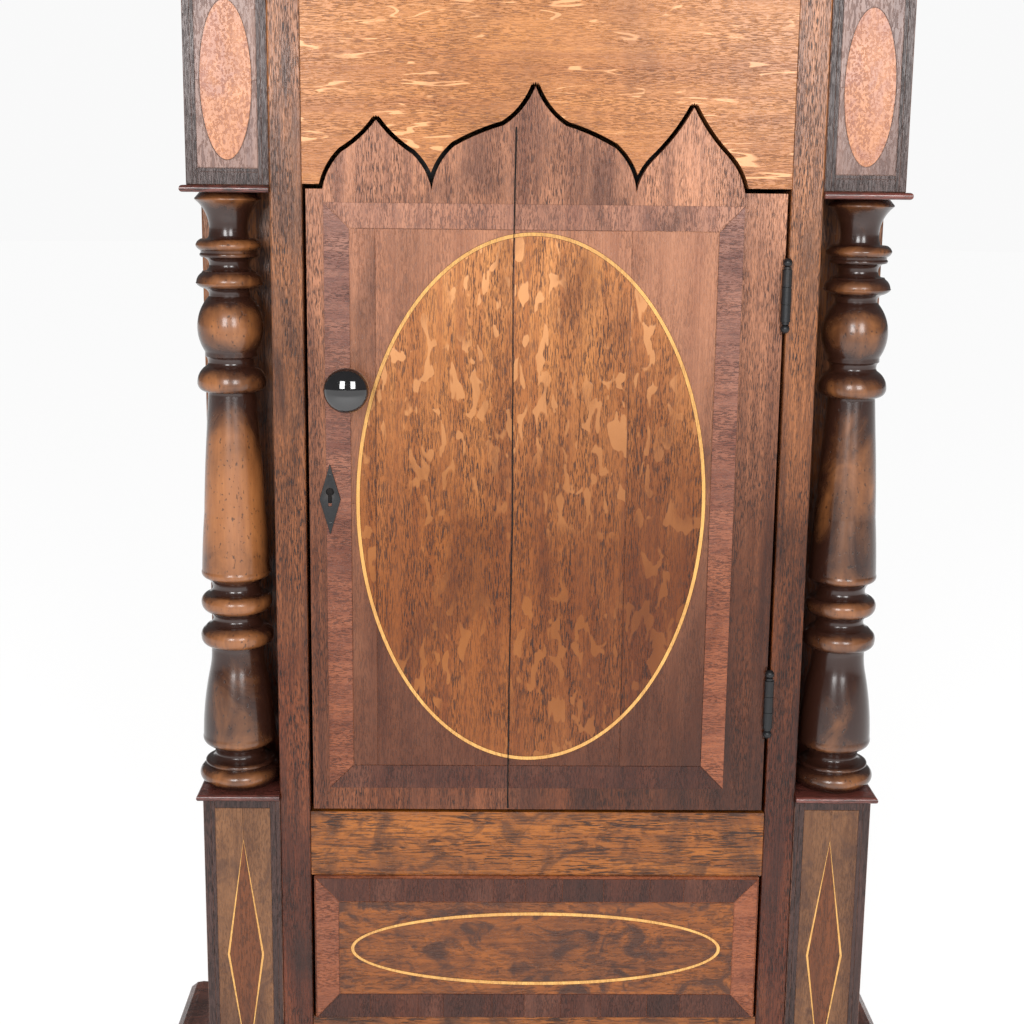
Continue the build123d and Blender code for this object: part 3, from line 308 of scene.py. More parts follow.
DARK_MAHOGANY = dict(pale=(0.16, 0.050, 0.030), dark=(0.060, 0.020, 0.014), pore=(0.020, 0.008, 0.006))

M = {
    "oval": wood("oak_oval_veneer", **OAK, rays="blobs", ray_colour=(0.60, 0.28, 0.110), stain=0.60,
            stain_colour=(0.15, 0.045, 0.014),
            tint_by_place=OVAL_TINT),
    "frieze": wood("oak_frieze_board", (0.48, 0.190, 0.056), (0.32, 0.112, 0.034), (0.12, 0.040, 0.017),
            way="x", rays="strokes", ray_colour=(0.68, 0.33, 0.14), stain=0.35, pore_share=0.55,
            stain_colour=(0.12, 0.045, 0.025)),
    "door": wood("oak_door_margin", (0.50, 0.215, 0.110), (0.17, 0.062, 0.034), (0.050, 0.017, 0.010),
            stain=0.70, stain_colour=(0.10, 0.035, 0.020), tint_by_place=DOOR_TINT),
    "stile": wood("oak_stile", (0.44, 0.170, 0.062), (0.10, 0.032, 0.014), (0.024, 0.008, 0.005),
            figure=(85, 5), stain=0.75, stain_colour=STAIN, tint_by_place=STILE_TINT),
    "rail": wood("oak_rail_worn", (0.33, 0.102, 0.013), (0.15, 0.040, 0.006), (0.030, 0.009, 0.003),
            way="x", figure=(60, 4), pores=(1100, 80), stain=0.75, mottle=0.65,
            stain_colour=(0.030, 0.010, 0.005)),
    "field": wood("mahogany_field_veneer", (0.38, 0.162, 0.085), (0.25, 0.096, 0.050), (0.10, 0.036, 0.021),
            figure=(70, 3), pores=(1400, 150), pore_share=0.4, stain=0.62,
            stain_colour=(0.09, 0.034, 0.021), tint_by_place=FIELD_TINT),
    "band_side": wood(
            "mahogany_crossband_sides", (0.26, 0.115, 0.078), (0.125, 0.048, 0.036), (0.05, 0.018, 0.014),
            way="x", figure=(40, 10), pores=(1600, 260), pore_share=0.6, stain=0.7,
            stain_colour=(0.045, 0.016, 0.013), tint_by_place=SIDE_BAND_TINT),
    "band_end": wood(
            "mahogany_crossband_ends", (0.38, 0.168, 0.098), (0.20, 0.080, 0.050), (0.08, 0.029, 0.020),
            way="z", figure=(60, 12), pores=(1600, 260), pore_share=0.6, stain=0.7,
            stain_colour=(0.060, 0.022, 0.016),
            tint_by_place=END_BAND_TINT),
    "panel_field": wood("panel_veneer", (0.27, 0.076, 0.010), (0.085, 0.022, 0.005), (0.026, 0.008, 0.004),
            way="x", figure=(30, 9), pores=(800, 160), pore_share=0.45, mottle=0.85, stain=0.6,
            stain_colour=(0.035, 0.012, 0.007)),
    "burr": wood("burr_veneer", (0.50, 0.200, 0.080), (0.34, 0.125, 0.056), (0.20, 0.076, 0.054),
            figure=(60, 40), pores=(640, 480), pore_share=0.40, mottle=0.35, stain=0.25,
            stain_colour=(0.24, 0.10, 0.095)),
    "ground": wood("block_ground_veneer", (0.24, 0.130, 0.095), (0.15, 0.080, 0.065), (0.07, 0.035, 0.030),
            figure=(30, 6), pores=(900, 200), pore_share=0.4, stain=0.5,
            stain_colour=(0.040, 0.018, 0.015)),
    "low_ground": wood(
            "lower_block_veneer", (0.19, 0.082, 0.032), (0.085, 0.031, 0.011), (0.035, 0.012, 0.006),
            figure=(30, 8), pores=(1200, 200), pore_share=0.35, mottle=0.6, stain=0.75,
            stain_colour=(0.05, 0.020, 0.012)),
    "lozenge": wood("lozenge_veneer", (0.15, 0.040, 0.008), (0.075, 0.020, 0.005), (0.040, 0.012, 0.004),
            figure=(90, 5), pores=(1000, 160), pore_share=0.5, stain=0.35, stain_colour=STAIN),
    "edge": wood("ebonised_edging", (0.060, 0.026, 0.020), (0.026, 0.012, 0.010), (0.012, 0.006, 0.005),
            figure=(60, 8), stain=0.4, stain_colour=STAIN),
    # Near black, for the open joint down the door and as painted shade in the keyhole.
    "crack": wood("dark_joint_and_keyhole_shade", (0.010, 0.006, 0.005), (0.004, 0.003, 0.003), (0.002, 0.001, 0.001),
            stain=0.2, stain_colour=(0.02, 0.008, 0.005), rough=0.8, coat=0.0),
    "string": wood("boxwood_string", (0.68, 0.37, 0.100), (0.50, 0.24, 0.058), (0.30, 0.13, 0.03),
            figure=(60, 8), pores=(1500, 300), pore_share=0.3, stain=0.35,
            stain_colour=(0.34, 0.15, 0.045), coat=0.4),
    "block": wood("corner_block_oak", (0.20, 0.085, 0.050), (0.075, 0.030, 0.020), (0.025, 0.010, 0.007),
            figure=(34, 4), stain=0.7, low_dark=0.2, stain_colour=STAIN),
    "case": wood("oak_case_boards", (0.24, 0.095, 0.042), (0.115, 0.042, 0.020), (0.035, 0.013, 0.008),
            figure=(22, 1.8), stain=0.6, stain_colour=STAIN),
    "base": wood("oak_base_board", (0.27, 0.105, 0.044), (0.13, 0.046, 0.021), (0.035, 0.013, 0.008),
            way="x", figure=(24, 2.4), rays="strokes", ray_colour=(0.36, 0.16, 0.07), stain=0.6,
            stain_colour=STAIN),
    "ledge": wood("mahogany_ledge", (0.17, 0.045, 0.032), (0.075, 0.020, 0.015), (0.02, 0.007, 0.005),
            way="x", figure=(60, 6), stain=0.3, stain_colour=STAIN, coat=0.6),
    "moulding": wood("mahogany_moulding", **DARK_MAHOGANY, way="x", figure=(40, 3), stain=0.5,
            stain_colour=STAIN, coat=0.5),
    "hood": wood("mahogany_hood_front", (0.22, 0.075, 0.040), (0.095, 0.032, 0.019), (0.030, 0.011, 0.008),
            figure=(26, 2), stain=0.5, stain_colour=STAIN, coat=0.45),
    "pine": wood("old_pine", (0.46, 0.30, 0.155), (0.30, 0.175, 0.082), (0.17, 0.095, 0.045),
            figure=(36, 1.6), pores=(300, 12), pore_share=0.35, stain=0.35,
            stain_colour=(0.12, 0.07, 0.04), rough=0.62, coat=0.0),
    "turned": turned_wood("turned_column_wood"),
    "japanned": iron("japanned_iron"),
    "cast": iron("cast_iron_black_paint", (0.030, 0.030, 0.031), rust=0.6, rough=0.55),
    "brass": metal("clock_brass", (0.78, 0.53, 0.20), (0.34, 0.19, 0.07), rough=0.30, tarnish=0.35),
    "bell": metal("bell_metal", (0.70, 0.58, 0.38), (0.34, 0.27, 0.16), rough=0.34, tarnish=0.3),
    "steel": metal("cut_steel", (0.50, 0.50, 0.51), (0.20, 0.16, 0.13), rough=0.32, tarnish=0.35),
    "blued": metal("blued_steel", (0.022, 0.032, 0.11), (0.015, 0.012, 0.03), rough=0.25, tarnish=0.4,
            coat=0.3),
    "dial": paint("dial_cream_paint", (0.62, 0.56, 0.42), (0.50, 0.42, 0.28), crackle=0.45),
    "black": paint("dial_black_paint", (0.014, 0.013, 0.012), (0.035, 0.030, 0.026)),
    "gilt": paint("dial_gilding", (0.76, 0.50, 0.16), (0.42, 0.24, 0.07), rough=0.34, metallic=0.8),
    "rose": paint("dial_rose_paint", (0.58, 0.14, 0.13), (0.74, 0.36, 0.31)),
    "leaf": paint("dial_leaf_paint", (0.060, 0.16, 0.055), (0.14, 0.24, 0.09)),
    "sky": paint("dial_blue_paint", (0.19, 0.32, 0.46), (0.38, 0.48, 0.52)),
    "gut": gut_line("gut_line"),
    "glass": glass("old_glass"),
}


def horn(name):
    """Black polished knob with fine rubbing scratches."""
    made = Finish(name, Coat_Weight=1.0, Coat_Roughness=0.03, Specular_IOR_Level=0.6)
    cloud = made.noise(made.stretched(160, 160, "z"), 4.0, 0.6)
    scratch = made.step(made.noise(made.stretched(2600, 90, "x", 3.0), 1.0), 0.66, 0.72)
    shade = made.mix(cloud, (0.003, 0.003, 0.0035), (0.009, 0.008, 0.009))
    rough = made.linear(scratch, 0.12, 0.07)
    return made.done(shade, rough, [(cloud, 0.00002)])


M["horn"] = horn("polished_black_horn")


# ---------------------------------------------------------------- mesh helpers
def piece(name, points, faces, finish, body, slot, smooth=False):
    """A new mesh object from points in millimetres, riding on a CAD body."""
    mesh = bpy.data.meshes.new(name)
    mesh.from_pydata([[value * MM for value in point] for point in points], [], faces)
    mesh.update()
    made = bpy.data.objects.new(name, mesh)
    bpy.context.scene.collection.objects.link(made)
    mesh.materials.append(M[finish])
    if smooth:
        mesh.shade_smooth()
        mesh.set_sharp_from_angle(angle=math.radians(38))
    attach(made, body)
    return made


def tag(made, name, values):
    """Stores one number per vertex for a material to read."""
    layer = made.data.attributes.new(name, "FLOAT", "POINT")
    layer.data.foreach_set("value", values)


class Sheet:
    """Flat shapes drawn in x and z, gathered into one thin piece that faces the front."""

    def __init__(self):
        self.points = []
        self.faces = []
        self.boards = []

    def add(self, outline, front, thick=VENEER, board=0.0):
        """One closed outline, counter-clockwise as seen from the front.  Its front edge is eased."""
        count = len(outline)
        start = len(self.points)
        ease = min(0.12, thick * 0.4)
        rings = [(front, ease), (front + ease, 0.0), (front + thick, 0.0)]
        for y, inset in rings:
            self.points += [(x, y, z) for x, z in shrunk(outline, inset)]
            self.boards += [board] * count
        self.faces.append([start + i for i in range(count)])
        self.faces.append([start + 2 * count + i for i in reversed(range(count))])
        for ring in (0, 1):
            low = start + ring * count
            for i in range(count):
                j = (i + 1) % count
                self.faces.append((low + j, low + i, low + count + i, low + count + j))

    def ring(self, outer, inner, front, thick=VENEER):
        """A closed band between two outlines with the same number of points."""
        count = len(outer)
        start = len(self.points)
        for y in (front, front + thick):
            for edge in (outer, inner):
                self.points += [(x, y, z) for x, z in edge]
                self.boards += [0.0] * count
        for i in range(count):
            j = (i + 1) % count
            front_out, front_in = start, start + count
            back_out, back_in = start + 2 * count, start + 3 * count
            self.faces.append((front_out + i, front_out + j, front_in + j, front_in + i))
            self.faces.append((back_out + j, back_out + i, back_in + i, back_in + j))
            self.faces.append((front_out + j, front_out + i, back_out + i, back_out + j))
            self.faces.append((front_in + i, front_in + j, back_in + j, back_in + i))

    def make(self, name, finish, body, slot):
        made = piece(name, self.points, self.faces, finish, body, slot)
        tag(made, "board", self.boards)
        return made


def shrunk(outline, inset):
    """The outline moved inwards by a small inset, corner by corner."""
    if not inset:
        return list(outline)
    moved = []
    count = len(outline)
    for i in range(count):
        before = Vector(outline[i - 1])
        here = Vector(outline[i])
        after = Vector(outline[(i + 1) % count])
        one = (here - before).normalized()
        two = (after - here).normalized()
        inward = Vector((-one.y, one.x)) + Vector((-two.y, two.x))
        share = max(0.35, inward.length_squared / 2)
        moved.append(tuple(here + inward * (inset / share)))
    return moved


def rectangle(x0, x1, z0, z1):
    return [(x0, z0), (x1, z0), (x1, z1), (x0, z1)]


def arc(centre, half_wide, half_tall, start, end, count):
    """Points of an ellipse from one angle to another, in degrees."""
    points = []
    for index in range(count + 1):
        angle = math.radians(start + (end - start) * index / count)
        points.append((centre[0] + half_wide * math.cos(angle), centre[1] + half_tall * math.sin(angle)))
    return points


def oval(centre, half_wide, half_tall, count=96):
    return arc(centre, half_wide, half_tall, 0, 360, count)[:-1]


def moved(outline, shift_x=0.0, shift_z=0.0, turn=0.0, scale=1.0):
    """An outline scaled, turned anticlockwise by degrees, then shifted."""
    c, s = math.cos(math.radians(turn)), math.sin(math.radians(turn))
    return [(scale * (x * c - z * s) + shift_x, scale * (x * s + z * c) + shift_z) for x, z in outline]


def raised(outline, rise):
    return [(x, z + rise) for x, z in outline]


# ---------------------------------------------------------------- inlay of the trunk
def mitred_frame(outer, inner):
    """The four strips between two rectangles (x0, x1, z0, z1): bottom, right, top, left."""
    a0, a1, c0, c1 = outer
    b0, b1, d0, d1 = inner
    g = HAIR
    return [
        [(a0 + g, c0), (a1 - g, c0), (b1 - g, d0 - g), (b0 + g, d0 - g)],
        [(a1, c0 + g), (a1, c1 - g), (b1 + g, d1 - g), (b1 + g, d0 + g)],
        [(a1 - g, c1), (a0 + g, c1), (b0 + g, d1 + g), (b1 - g, d1 + g)],
        [(a0, c1 - g), (a0, c0 + g), (b0 - g, d0 + g), (b0 - g, d1 - g)],
    ]


def cut_at(outline, x, keep_left):
    """The part of an outline on one side of an upright line."""
    kept = []
    count = len(outline)
    for i in range(count):
        here, after = outline[i], outline[(i + 1) % count]
        inside = (here[0] <= x) == keep_left or here[0] == x
        inside_after = (after[0] <= x) == keep_left or after[0] == x
        if inside:
            kept.append(here)
        if inside != inside_after:
            share = (x - here[0]) / (after[0] - here[0])
            kept.append((x, here[1] + share * (after[1] - here[1])))
    return kept


def boards_of(outline, joints, gap):
    """An outline sawn along upright joints, with a gap of the given half width at each."""
    parts = []
    rest = outline
    for x in joints:
        left = cut_at(rest, x - gap, True)
        rest = cut_at(rest, x + gap, False)
        if len(left) > 2:
            parts.append(left)
    if len(rest) > 2:
        parts.append(rest)
    return parts


SPLIT_X = -21.0                  # the open joint that runs down the whole door
JOINTS = (-112.0, SPLIT_X, 56.0)
BAND_OUT = (-145.5, 129.0, -411.0, -10.0)
BAND_IN = (-128.7, 112.8, -394.3, -26.5)
OVAL_AT = (-7.9, -209.0)
OVAL_HALF = (117.6, 181.0)
STRING = 2.3                     # width of a boxwood line
LINE_PROUD = 0.08                # how far it stands above the veneers


def field_around(area, centre, half, joints):
    """The veneers between a rectangle and an oval, sawn along the joints."""
    x0, x1, z0, z1 = area
    wide, tall = half[0] + HAIR, half[1] + HAIR
    above = [(x0 + HAIR, centre[1] + HAIR / 2)]
    above += arc(centre, wide, tall, 180, 0, 72)
    above += [(x1 - HAIR, centre[1] + HAIR / 2), (x1 - HAIR, z1 - HAIR), (x0 + HAIR, z1 - HAIR)]
    below = [(x1 - HAIR, centre[1] - HAIR / 2)]
    below += arc(centre, wide, tall, 0, -180, 72)
    below += [(x0 + HAIR, centre[1] - HAIR / 2), (x0 + HAIR, z0 + HAIR), (x1 - HAIR, z0 + HAIR)]
    return [part for half_field in (above, below) for part in boards_of(half_field, joints, HAIR)]


def door_inlay():
    front = DOOR_FRONT - VENEER
    sides, ends = Sheet(), Sheet()
    for index, strip in enumerate(mitred_frame(BAND_OUT, BAND_IN)):
        target = sides if index % 2 else ends
        for number, part in enumerate(boards_of(strip, (SPLIT_X,), 0.45)):
            target.add(raised(part, LEDGE_Z), front, board=0.11 * index + 0.07 * number)
    sides.make("door_banding_sides", "band_side", "trunk_door", "mahogany")
    ends.make("door_banding_ends", "band_end", "trunk_door", "mahogany")
    field = Sheet()
    for number, part in enumerate(field_around(BAND_IN, OVAL_AT, OVAL_HALF, JOINTS)):
        field.add(raised(part, LEDGE_Z), front - 0.03, board=0.17 * number)
    field.make("door_field", "field", "trunk_door", "mahogany")
    middle = Sheet()
    inner = oval(OVAL_AT, OVAL_HALF[0] - STRING - HAIR, OVAL_HALF[1] - STRING - HAIR, 160)
    for number, part in enumerate(boards_of(inner, JOINTS, 0.35)):
        middle.add(raised(part, LEDGE_Z), front - 0.04, board=0.23 * number)
    middle.make("door_oval", "oval", "trunk_door", "oak_front")
    line = Sheet()
    line.ring(raised(oval(OVAL_AT, *OVAL_HALF, 160), LEDGE_Z),
              raised(oval(OVAL_AT, OVAL_HALF[0] - STRING, OVAL_HALF[1] - STRING, 160), LEDGE_Z), front - 0.10,
              VENEER + 0.06)
    line.make("door_oval_string", "string", "trunk_door", "mahogany")


def door_split():
    """The dark open joint that runs down the door from its head to its foot."""
    crack = Sheet()
    edges = ((1279.0, 0.55), (1180.0, 0.35), (1020.0, 0.5), (900.0, 0.4), (DOOR_LOW.z / MM + 1.0, 0.6))
    left = [(SPLIT_X + 0.8 * math.sin(0.02 * z) - half, z) for z, half in edges]
    right = [(SPLIT_X + 0.8 * math.sin(0.02 * z) + half, z) for z, half in reversed(edges)]
    crack.add(left + right, DOOR_FRONT - VENEER - 0.12, VENEER + 0.1)
    crack.make("door_split", "crack", "trunk_door", "oak_front")


def keyhole():
    """A near-black sheet under the escutcheon, seen through it: painted shade for the hole of the keyhole."""
    low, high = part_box("escutcheon")
    middle, tall = (low.x + high.x) / 2 / MM, high.z / MM - low.z / MM
    dark = Sheet()
    dark.add(oval((middle, low.z / MM + 0.58 * tall), 3.4, 6.8, 32), DOOR_FRONT - VENEER - 0.1, 0.12)
    dark.make("keyhole_painted_shade", "crack", "trunk_door", "oak_front")


def banded_panel(prefix, front, outer, inner, centre, half, rise, saws, shades):
    """Banding round a field with an oval in it.  Returns the sheet that holds its boxwood line."""
    by_strip, by_saw, first, by_part, middle = shades
    sides, ends, field, line = Sheet(), Sheet(), Sheet(), Sheet()
    for index, strip in enumerate(mitred_frame(outer, inner)):
        target = sides if index % 2 else ends
        for number, part in enumerate(boards_of(strip, () if index % 2 else saws, 0.12)):
            target.add(raised(part, rise), front, board=by_strip * index + by_saw * number)
    for number, part in enumerate(field_around(inner, centre, half, ())):
        field.add(raised(part, rise), front, board=first + by_part * number)
    gap = STRING + HAIR
    field.add(raised(oval(centre, half[0] - gap, half[1] - gap, 128), rise), front, board=middle)
    line.ring(raised(oval(centre, *half, 128), rise),
              raised(oval(centre, half[0] - STRING, half[1] - STRING, 128), rise), front - LINE_PROUD)
    sides.make(prefix + "_banding_sides", "band_side", "case", "mahogany")
    ends.make(prefix + "_banding_ends", "band_end", "case", "mahogany")
    field.make(prefix + "_field", "panel_field", "case", "mahogany")
    return line


def panel_inlay():
    """The raised panel below the door, its end bandings pieced together."""
    line = banded_panel("panel", PANEL_FRONT - VENEER, (-156.0, 156.0, -584.0, -478.0),
                        (-140.0, 140.0, -566.0, -495.4), (-0.2, -531.0), (131.4, 27.8), LEDGE_Z,
                        (-118, -84, -66, -31, -8, 18, 47, 80, 104), (0.19, 0.13, 0.31, 0.02, 0.9))
    line.make("panel_oval_string", "string", "case", "mahogany")


def base_inlay():
    """The same scheme on the base, with square boxwood lines round the banding."""
    outer, inner = (-203.0, 203.0, 167.0, 498.0), (-181.0, 181.0, 189.0, 476.0)
    front = BASE_FRONT - VENEER
    line = banded_panel("base", front, outer, inner, (0.0, 332.5), (150.0, 108.0), 0.0, (),
                        (0.3, 0.0, 0.0, 0.4, 0.77))
    wide = 1.4
    for x0, x1, z0, z1 in (outer, inner):
        line.ring(rectangle(x0, x1, z0, z1), rectangle(x0 + wide, x1 - wide, z0 + wide, z1 - wide),
                  front - LINE_PROUD)
    line.make("base_strings", "string", "case", "mahogany")


def block_inlay():
    """Veneers, dark edgings, ovals and lozenges of the four corner blocks."""
    front = BLOCK_FRONT - VENEER
    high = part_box("corner_blocks")[1].z / MM - LEDGE_Z
    ground, edging, burr = Sheet(), Sheet(), Sheet()
    low_ground, lozenges, lines = Sheet(), Sheet(), Sheet()
    for side in (-1, 1):
        def run(x_in, x_out):
            return sorted((side * x_in, side * x_out))
        # upper block: a ground with a burr oval inside a dark frame
        inner, outer = run(187.3, 226.4)
        centre = (side * 207.0, 66.0)
        for number, part in enumerate(field_around((inner, outer, 11.0, 128.0), centre, (16.8, 50.0), ())):
            ground.add(raised(part, LEDGE_Z), front, board=0.4 * side + 0.1 * number)
        burr.add(raised(oval(centre, 16.5, 49.7, 72), LEDGE_Z), front - 0.03, board=0.5 + 0.6 * side)
        for x_in, x_out in ((181.0, 184.5), (184.8, 187.0), (226.7, 229.0), (229.3, 233.6)):
            x0, x1 = run(x_in, x_out)
            edging.add(raised(rectangle(x0, x1, 0.6, high - 0.6), LEDGE_Z), front)
        x0, x1 = run(187.3, 226.4)
        edging.add(raised(rectangle(x0, x1, 8.6, 10.7), LEDGE_Z), front)
        edging.add(raised(rectangle(x0, x1, 0.6, 8.3), LEDGE_Z), front)
        # lower block: a pale ground with a lozenge inside a boxwood line
        x0, x1 = run(187.6, 225.8)
        middle = (side * 206.5, -537.0)
        gem = [(middle[0], middle[1] - 87), (middle[0] + 12.9, middle[1]), (middle[0], middle[1] + 87),
               (middle[0] - 12.9, middle[1])]
        gem_in = shrunk(gem, 1.5)
        left = [(x0, -639), (middle[0] - 0.1, -639), gem[0], gem[3], gem[2], (middle[0] - 0.1, -427),
                (x0, -427)]
        right = [(middle[0] + 0.1, -639), (x1, -639), (x1, -427), (middle[0] + 0.1, -427), gem[2], gem[1],
                 gem[0]]
        for number, part in enumerate((left, right)):
            low_ground.add(raised(part, LEDGE_Z), front, board=0.3 * side)
        lozenges.add(raised(shrunk(gem_in, 0.1), LEDGE_Z), front - 0.03, board=0.8 * side)
        lines.ring(raised(gem, LEDGE_Z), raised(gem_in, LEDGE_Z), front - 0.10)
        for x_in, x_out in ((181.0, 183.5), (183.8, 187.3), (226.1, 228.6), (228.9, 233.6)):
            e0, e1 = run(x_in, x_out)
            edging.add(raised(rectangle(e0, e1, -639.4, -421.2), LEDGE_Z), front)
        edging.add(raised(rectangle(x0, x1, -426.7, -421.2), LEDGE_Z), front)
    ground.make("block_ground", "ground", "case", "mahogany")
    edging.make("block_edging", "edge", "case", "mahogany")
    burr.make("block_ovals", "burr", "case", "mahogany")
    low_ground.make("lower_block_ground", "low_ground", "case", "mahogany")
    lozenges.make("lower_block_lozenges", "lozenge", "case", "mahogany")
    lines.make("lower_block_strings", "string", "case", "mahogany")


# ---------------------------------------------------------------- turned columns
def fine_profile(stations, step=0.7):
    """(depth, radius) points down a turning, with each bulged station drawn as a true arc."""
    points = [(stations[0][0], stations[0][1])]
    for depth, radius, *bulge in stations[1:]:
        d0, r0 = points[-1]
        chord = math.hypot(depth - d0, radius - r0)
        count = max(1, round(chord / step))
        sag = bulge[0] if bulge else 0.0
        out = Vector((r0 - radius, depth - d0)).normalized()
        if sag:
            size = (chord * chord / 4 + sag * sag) / (2 * abs(sag))
        for index in range(1, count + 1):
            along = index / count
            lift = 0.0
            if sag:
                off = (along - 0.5) * chord
                lift = math.copysign(math.sqrt(size * size - off * off) - (size - abs(sag)), sag)
            points.append((d0 + (depth - d0) * along + out.x * lift,
                           r0 + (radius - r0) * along + out.y * lift))
    return points


def lathe(name, stations, x, y, top, finish, body, slot, wear, sides=112):
    """A turning about an upright axis, closed at both ends, with a value per vertex for rubbing along it and
    on its crests, and for painted shade on its flanks.
    """
    profile = fine_profile(stations)
    points, faces, wear_and_flank_shade = [], [], []
    for depth, radius in profile:
        nearby = [r for d, r in profile if abs(d - depth) < 14]
        crest = (radius - sum(nearby) / len(nearby)) / 5.0
        share = wear(depth) + 0.38 * crest
        for index in range(sides):
            angle = 2 * math.pi * index / sides
            points.append((x + radius * math.cos(angle), y + radius * math.sin(angle), top - depth))
            # The flanks left and right of the front get less chestnut: painted shade.
            wear_and_flank_shade.append(max(0.0, share - 0.35 * abs(math.cos(angle)) ** 3))
    for ring in range(len(profile) - 1):
        for index in range(sides):
            after = (index + 1) % sides
            a, b = ring * sides, (ring + 1) * sides
            faces.append((a + index, b + index, b + after, a + after))
    faces.append(list(range(sides)))
    faces.append([(len(profile) - 1) * sides + i for i in reversed(range(sides))])
    made = piece(name, points, faces, finish, body, slot, smooth=True)
    tag(made, "wear", wear_and_flank_shade)
    return made


TRUNK_TURNING = [
    (4.5, 18.5), (8.6, 22.0), (9.4, 22.0), (11.2, 20.0), (33.5, 13.4, -3.0), (35.2, 18.6, -1.2),
    (39.0, 22.0, 0.6), (39.8, 22.0), (42.8, 19.0, 0.4), (44.3, 18.8), (47.0, 18.8, 0.8),
    (52.0, 13.3, -1.5), (56.5, 18.0, -1.5), (57.6, 18.6), (63.5, 22.2, 0.8), (65.0, 22.2, 0.4),
    (67.5, 18.4, 0.3), (71.0, 14.0, -0.8), (73.0, 14.0), (110.2, 17.6, 6.4), (113.2, 17.6),
    (116.4, 15.8, -0.5), (119.8, 16.8, -0.5), (130.6, 23.2, 1.6), (137.3, 16.6, 2.2), (138.5, 16.2),
    (164.5, 17.9), (220.5, 20.9, 0.3), (261.0, 23.4, 0.3), (266.5, 21.0, 1.4), (273.8, 16.4, -1.2),
    (278.4, 21.3, -1.2), (284.3, 24.4, 1.0), (290.5, 20.6, 1.0), (296.3, 16.4, -1.2),
    (300.6, 20.8, -0.8), (302.5, 22.6), (309.0, 25.0, 1.0), (314.9, 19.0, 1.8), (317.5, 18.3),
    (333.0, 19.8, -0.5), (380.0, 25.3, 1.2), (387.0, 22.0, 1.6), (394.6, 16.9, -1.4),
    (398.0, 22.6, -1.0), (401.6, 22.8, 1.6), (402.4, 23.6), (414.2, 24.2, 4.4), (416.1, 23.0),
]
HOOD_TURNING = [
    (0, 17), (8, 17), (8.5, 13), (12, 15.5, 1.2), (15, 12, 0.8), (40, 10.5), (215, 13.5, 0.8),
    (424, 11.5, 0.8), (426, 15, -0.5), (432, 16, 1.5), (440, 13), (446, 16.5, 1.0), (450, 17),
    (464, 17),
]


def bump_at(depth, middle, reach):
    """A smooth hill of height 1 about a depth."""
    return math.exp(-((depth - middle) / reach) ** 2)


def columns():
    def left_wear(depth):
        shaft, bulb, vase = bump_at(depth, 215, 52), bump_at(depth, 92, 16), bump_at(depth, 355, 26)
        return 0.20 + 0.75 * shaft + 0.35 * bulb + 0.12 * vase

    # The right column gets less chestnut than the left, so it is darker.
    def right_wear(depth):
        shaft, bulb, vase = bump_at(depth, 205, 55), bump_at(depth, 92, 16), bump_at(depth, 355, 26)
        return 0.12 + 0.42 * shaft + 0.28 * bulb + 0.10 * vase

    low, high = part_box("trunk_columns")
    x = (high.x - (high.y - low.y) / 2) / MM
    y = (low.y + high.y) / 2 / MM
    for side, wear in ((-1, left_wear), (1, right_wear)):
        name = "trunk_column_left" if side < 0 else "trunk_column_right"
        made = lathe(name, TRUNK_TURNING, side * x, y, LEDGE_Z, "turned", "case", "turned_hardwood", wear)
        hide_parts("trunk_columns")
    low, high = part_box("hood_columns")
    x = (high.x - (high.y - low.y) / 2) / MM
    y = (low.y + high.y) / 2 / MM
    for side in (-1, 1):
        name = "hood_column_left" if side < 0 else "hood_column_right"
        made = lathe(name, HOOD_TURNING, side * x, y, high.z / MM, "turned", "hood", "turned_hardwood",
                     lambda depth: 0.10 + 0.25 * bump_at(depth, 215, 90), sides=72)
        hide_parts("hood_columns")


# ---------------------------------------------------------------- dial
def bar(x0, z0, x1, z1, wide):
    """A straight stroke of a numeral."""
    along = Vector((x1 - x0, z1 - z0)).normalized()
    side = Vector((-along.y, along.x)) * wide / 2
    a, b = Vector((x0, z0)), Vector((x1, z1))
    return [tuple(a - side), tuple(b - side), tuple(b + side), tuple(a + side)]


NUMERALS = ("XII", "I", "II", "III", "IIII", "V", "VI", "VII", "VIII", "IX", "X", "XI")
LETTER_WIDE = {"I": 5.4, "V": 14.0, "X": 14.0}
LETTER_TALL = 25.0
PAINT = 0.12                     # thickness of the painting on the dial


def strokes(letter):
    """The strokes of one roman letter about its own middle, with hairline serifs."""
    h = LETTER_TALL / 2
    if letter == "I":
        parts = [bar(0, -h, 0, h, 3.0)]
        feet = (0.0,)
        heads = (0.0,)
    elif letter == "V":
        parts = [bar(-5.0, h, 0, -h, 3.2), bar(5.0, h, 0, -h, 1.0)]
        feet = ()
        heads = (-5.0, 5.0)
    else:
        parts = [bar(-5.0, h, 5.0, -h, 3.2), bar(5.0, h, -5.0, -h, 1.0)]
        feet = (-5.0, 5.0)
        heads = (-5.0, 5.0)
    parts += [bar(x - 2.9, -h, x + 2.9, -h, 0.7) for x in feet]
    parts += [bar(x - 2.9, h, x + 2.9, h, 0.7) for x in heads]
    return parts


def petal(wide, tall):
    """A petal or leaf from the origin upwards."""
    rise = [(wide / 2 * math.sin(math.pi * t) ** 0.8, tall * t) for t in (0.12, 0.3, 0.5, 0.7, 0.88)]
    return [(0, 0)] + rise + [(0, tall)] + [(-x, z) for x, z in reversed(rise)]


